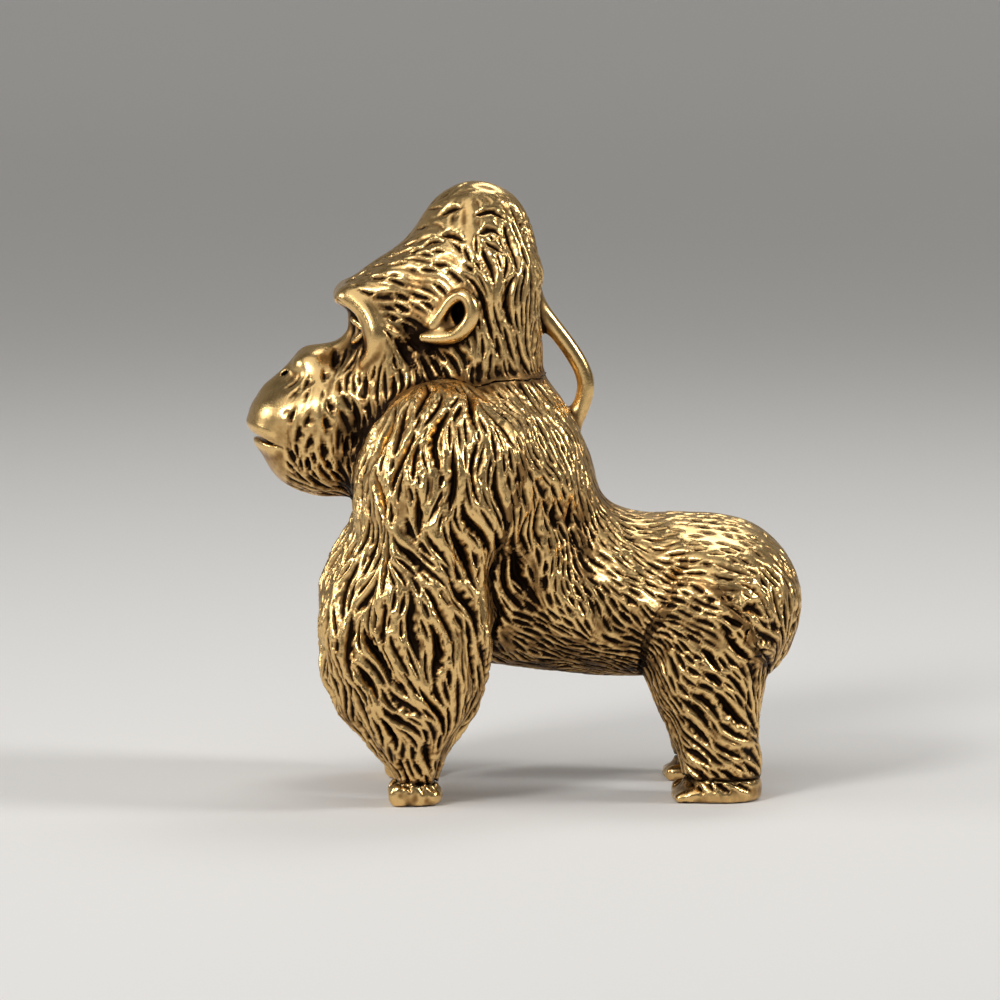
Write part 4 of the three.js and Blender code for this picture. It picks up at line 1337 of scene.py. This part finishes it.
# Lamps face the middle of the figure: name, place, power and size of each softbox
AIM = Vector((0, 0, 0.018))
SOFTBOXES = [
    ("key", (0.34, -0.24, 0.26), 0.20, 0.12),
    ("fill", (0.10, 0.42, 0.28), 0.19, 0.14),
    ("side", (0.02, -0.42, 0.18), 0.10, 0.16),
    ("top", (-0.22, 0.10, 0.38), 0.08, 0.18),
]
SOFTBOX_SPREAD = math.radians(80)
SKY_PLACE = (0.26, -0.13, 0.5)
SKY_POWER = 0.7
SKY_ANGLE = math.radians(60)


def pale_material():
    material = bpy.data.materials.new("backdrop")
    material.use_nodes = True
    shader = material.node_tree.nodes["Principled BSDF"]
    shader.inputs["Base Color"].default_value = PALE
    shader.inputs["Roughness"].default_value = PALE_ROUGHNESS
    return material


def backdrop():
    """A pale sweep: a floor that curves up into a wall behind the figure."""
    arc = [math.radians(angle) for angle in range(0, 91, BEND_STEP)]
    curve = [(WALL_FOOT - BEND * math.sin(a), BEND * (1 - math.cos(a))) for a in arc]
    profile = [(FLOOR_REACH, 0)] + curve + [(WALL_FOOT - BEND, WALL_TOP)]
    points = [(x, y, z) for x, z in profile for y in (-FLOOR_REACH, FLOOR_REACH)]
    quads = [(2 * n, 2 * n + 2, 2 * n + 3, 2 * n + 1) for n in range(len(profile) - 1)]
    mesh = bpy.data.meshes.new("backdrop")
    mesh.from_pydata(points, [], quads)
    mesh.polygons.foreach_set("use_smooth", np.ones(len(quads), bool))
    mesh.materials.append(pale_material())
    item = bpy.data.objects.new("backdrop", mesh)
    bpy.context.scene.collection.objects.link(item)


def lamp(name, kind, place, power):
    """A lamp that faces the figure."""
    data = bpy.data.lights.new(name, kind)
    data.energy = power
    item = bpy.data.objects.new(name, data)
    item.location = place
    item.rotation_euler = (AIM - Vector(place)).to_track_quat("-Z", "Y").to_euler()
    bpy.context.scene.collection.objects.link(item)
    return data


def softbox(name, place, power, size):
    """A square lamp with a grid, which keeps its light off the floor beneath it."""
    data = lamp(name, "AREA", place, power)
    data.size = size
    data.spread = SOFTBOX_SPREAD


def studio():
    backdrop()
    world = bpy.data.worlds.new("studio")
    world.use_nodes = True
    world.node_tree.nodes["Background"].inputs["Color"].default_value = DIM
    bpy.context.scene.world = world
    lamp("sky", "SUN", SKY_PLACE, SKY_POWER).angle = SKY_ANGLE
    for row in SOFTBOXES:
        softbox(*row)


# Camera: the photograph's view of the left side, from a little above
VIEW_AZIMUTH = 88.0
VIEW_ELEVATION = 6.0
VIEW_DISTANCE = 0.42
VIEW_CENTRE = Vector((0, -0.00143, 0.01706))
VIEW_WIDTH = 0.0585
NEAREST = 0.01


def photo_camera():
    """A camera that sees the view's width at the figure's middle."""
    data = bpy.data.cameras.new("camera")
    data.lens = data.sensor_width * VIEW_DISTANCE / VIEW_WIDTH
    data.clip_start = NEAREST
    camera = bpy.data.objects.new("camera", data)
    azimuth, elevation = math.radians(VIEW_AZIMUTH), math.radians(VIEW_ELEVATION)
    away = Vector((
        math.sin(azimuth) * math.cos(elevation),
        -math.cos(azimuth) * math.cos(elevation),
        math.sin(elevation),
    ))
    camera.location = VIEW_CENTRE + away * VIEW_DISTANCE
    camera.rotation_euler = (-away).to_track_quat("-Z", "Y").to_euler()
    bpy.context.scene.collection.objects.link(camera)
    bpy.context.scene.camera = camera


studio()
photo_camera()
bpy.context.scene.view_settings.view_transform = "Standard"
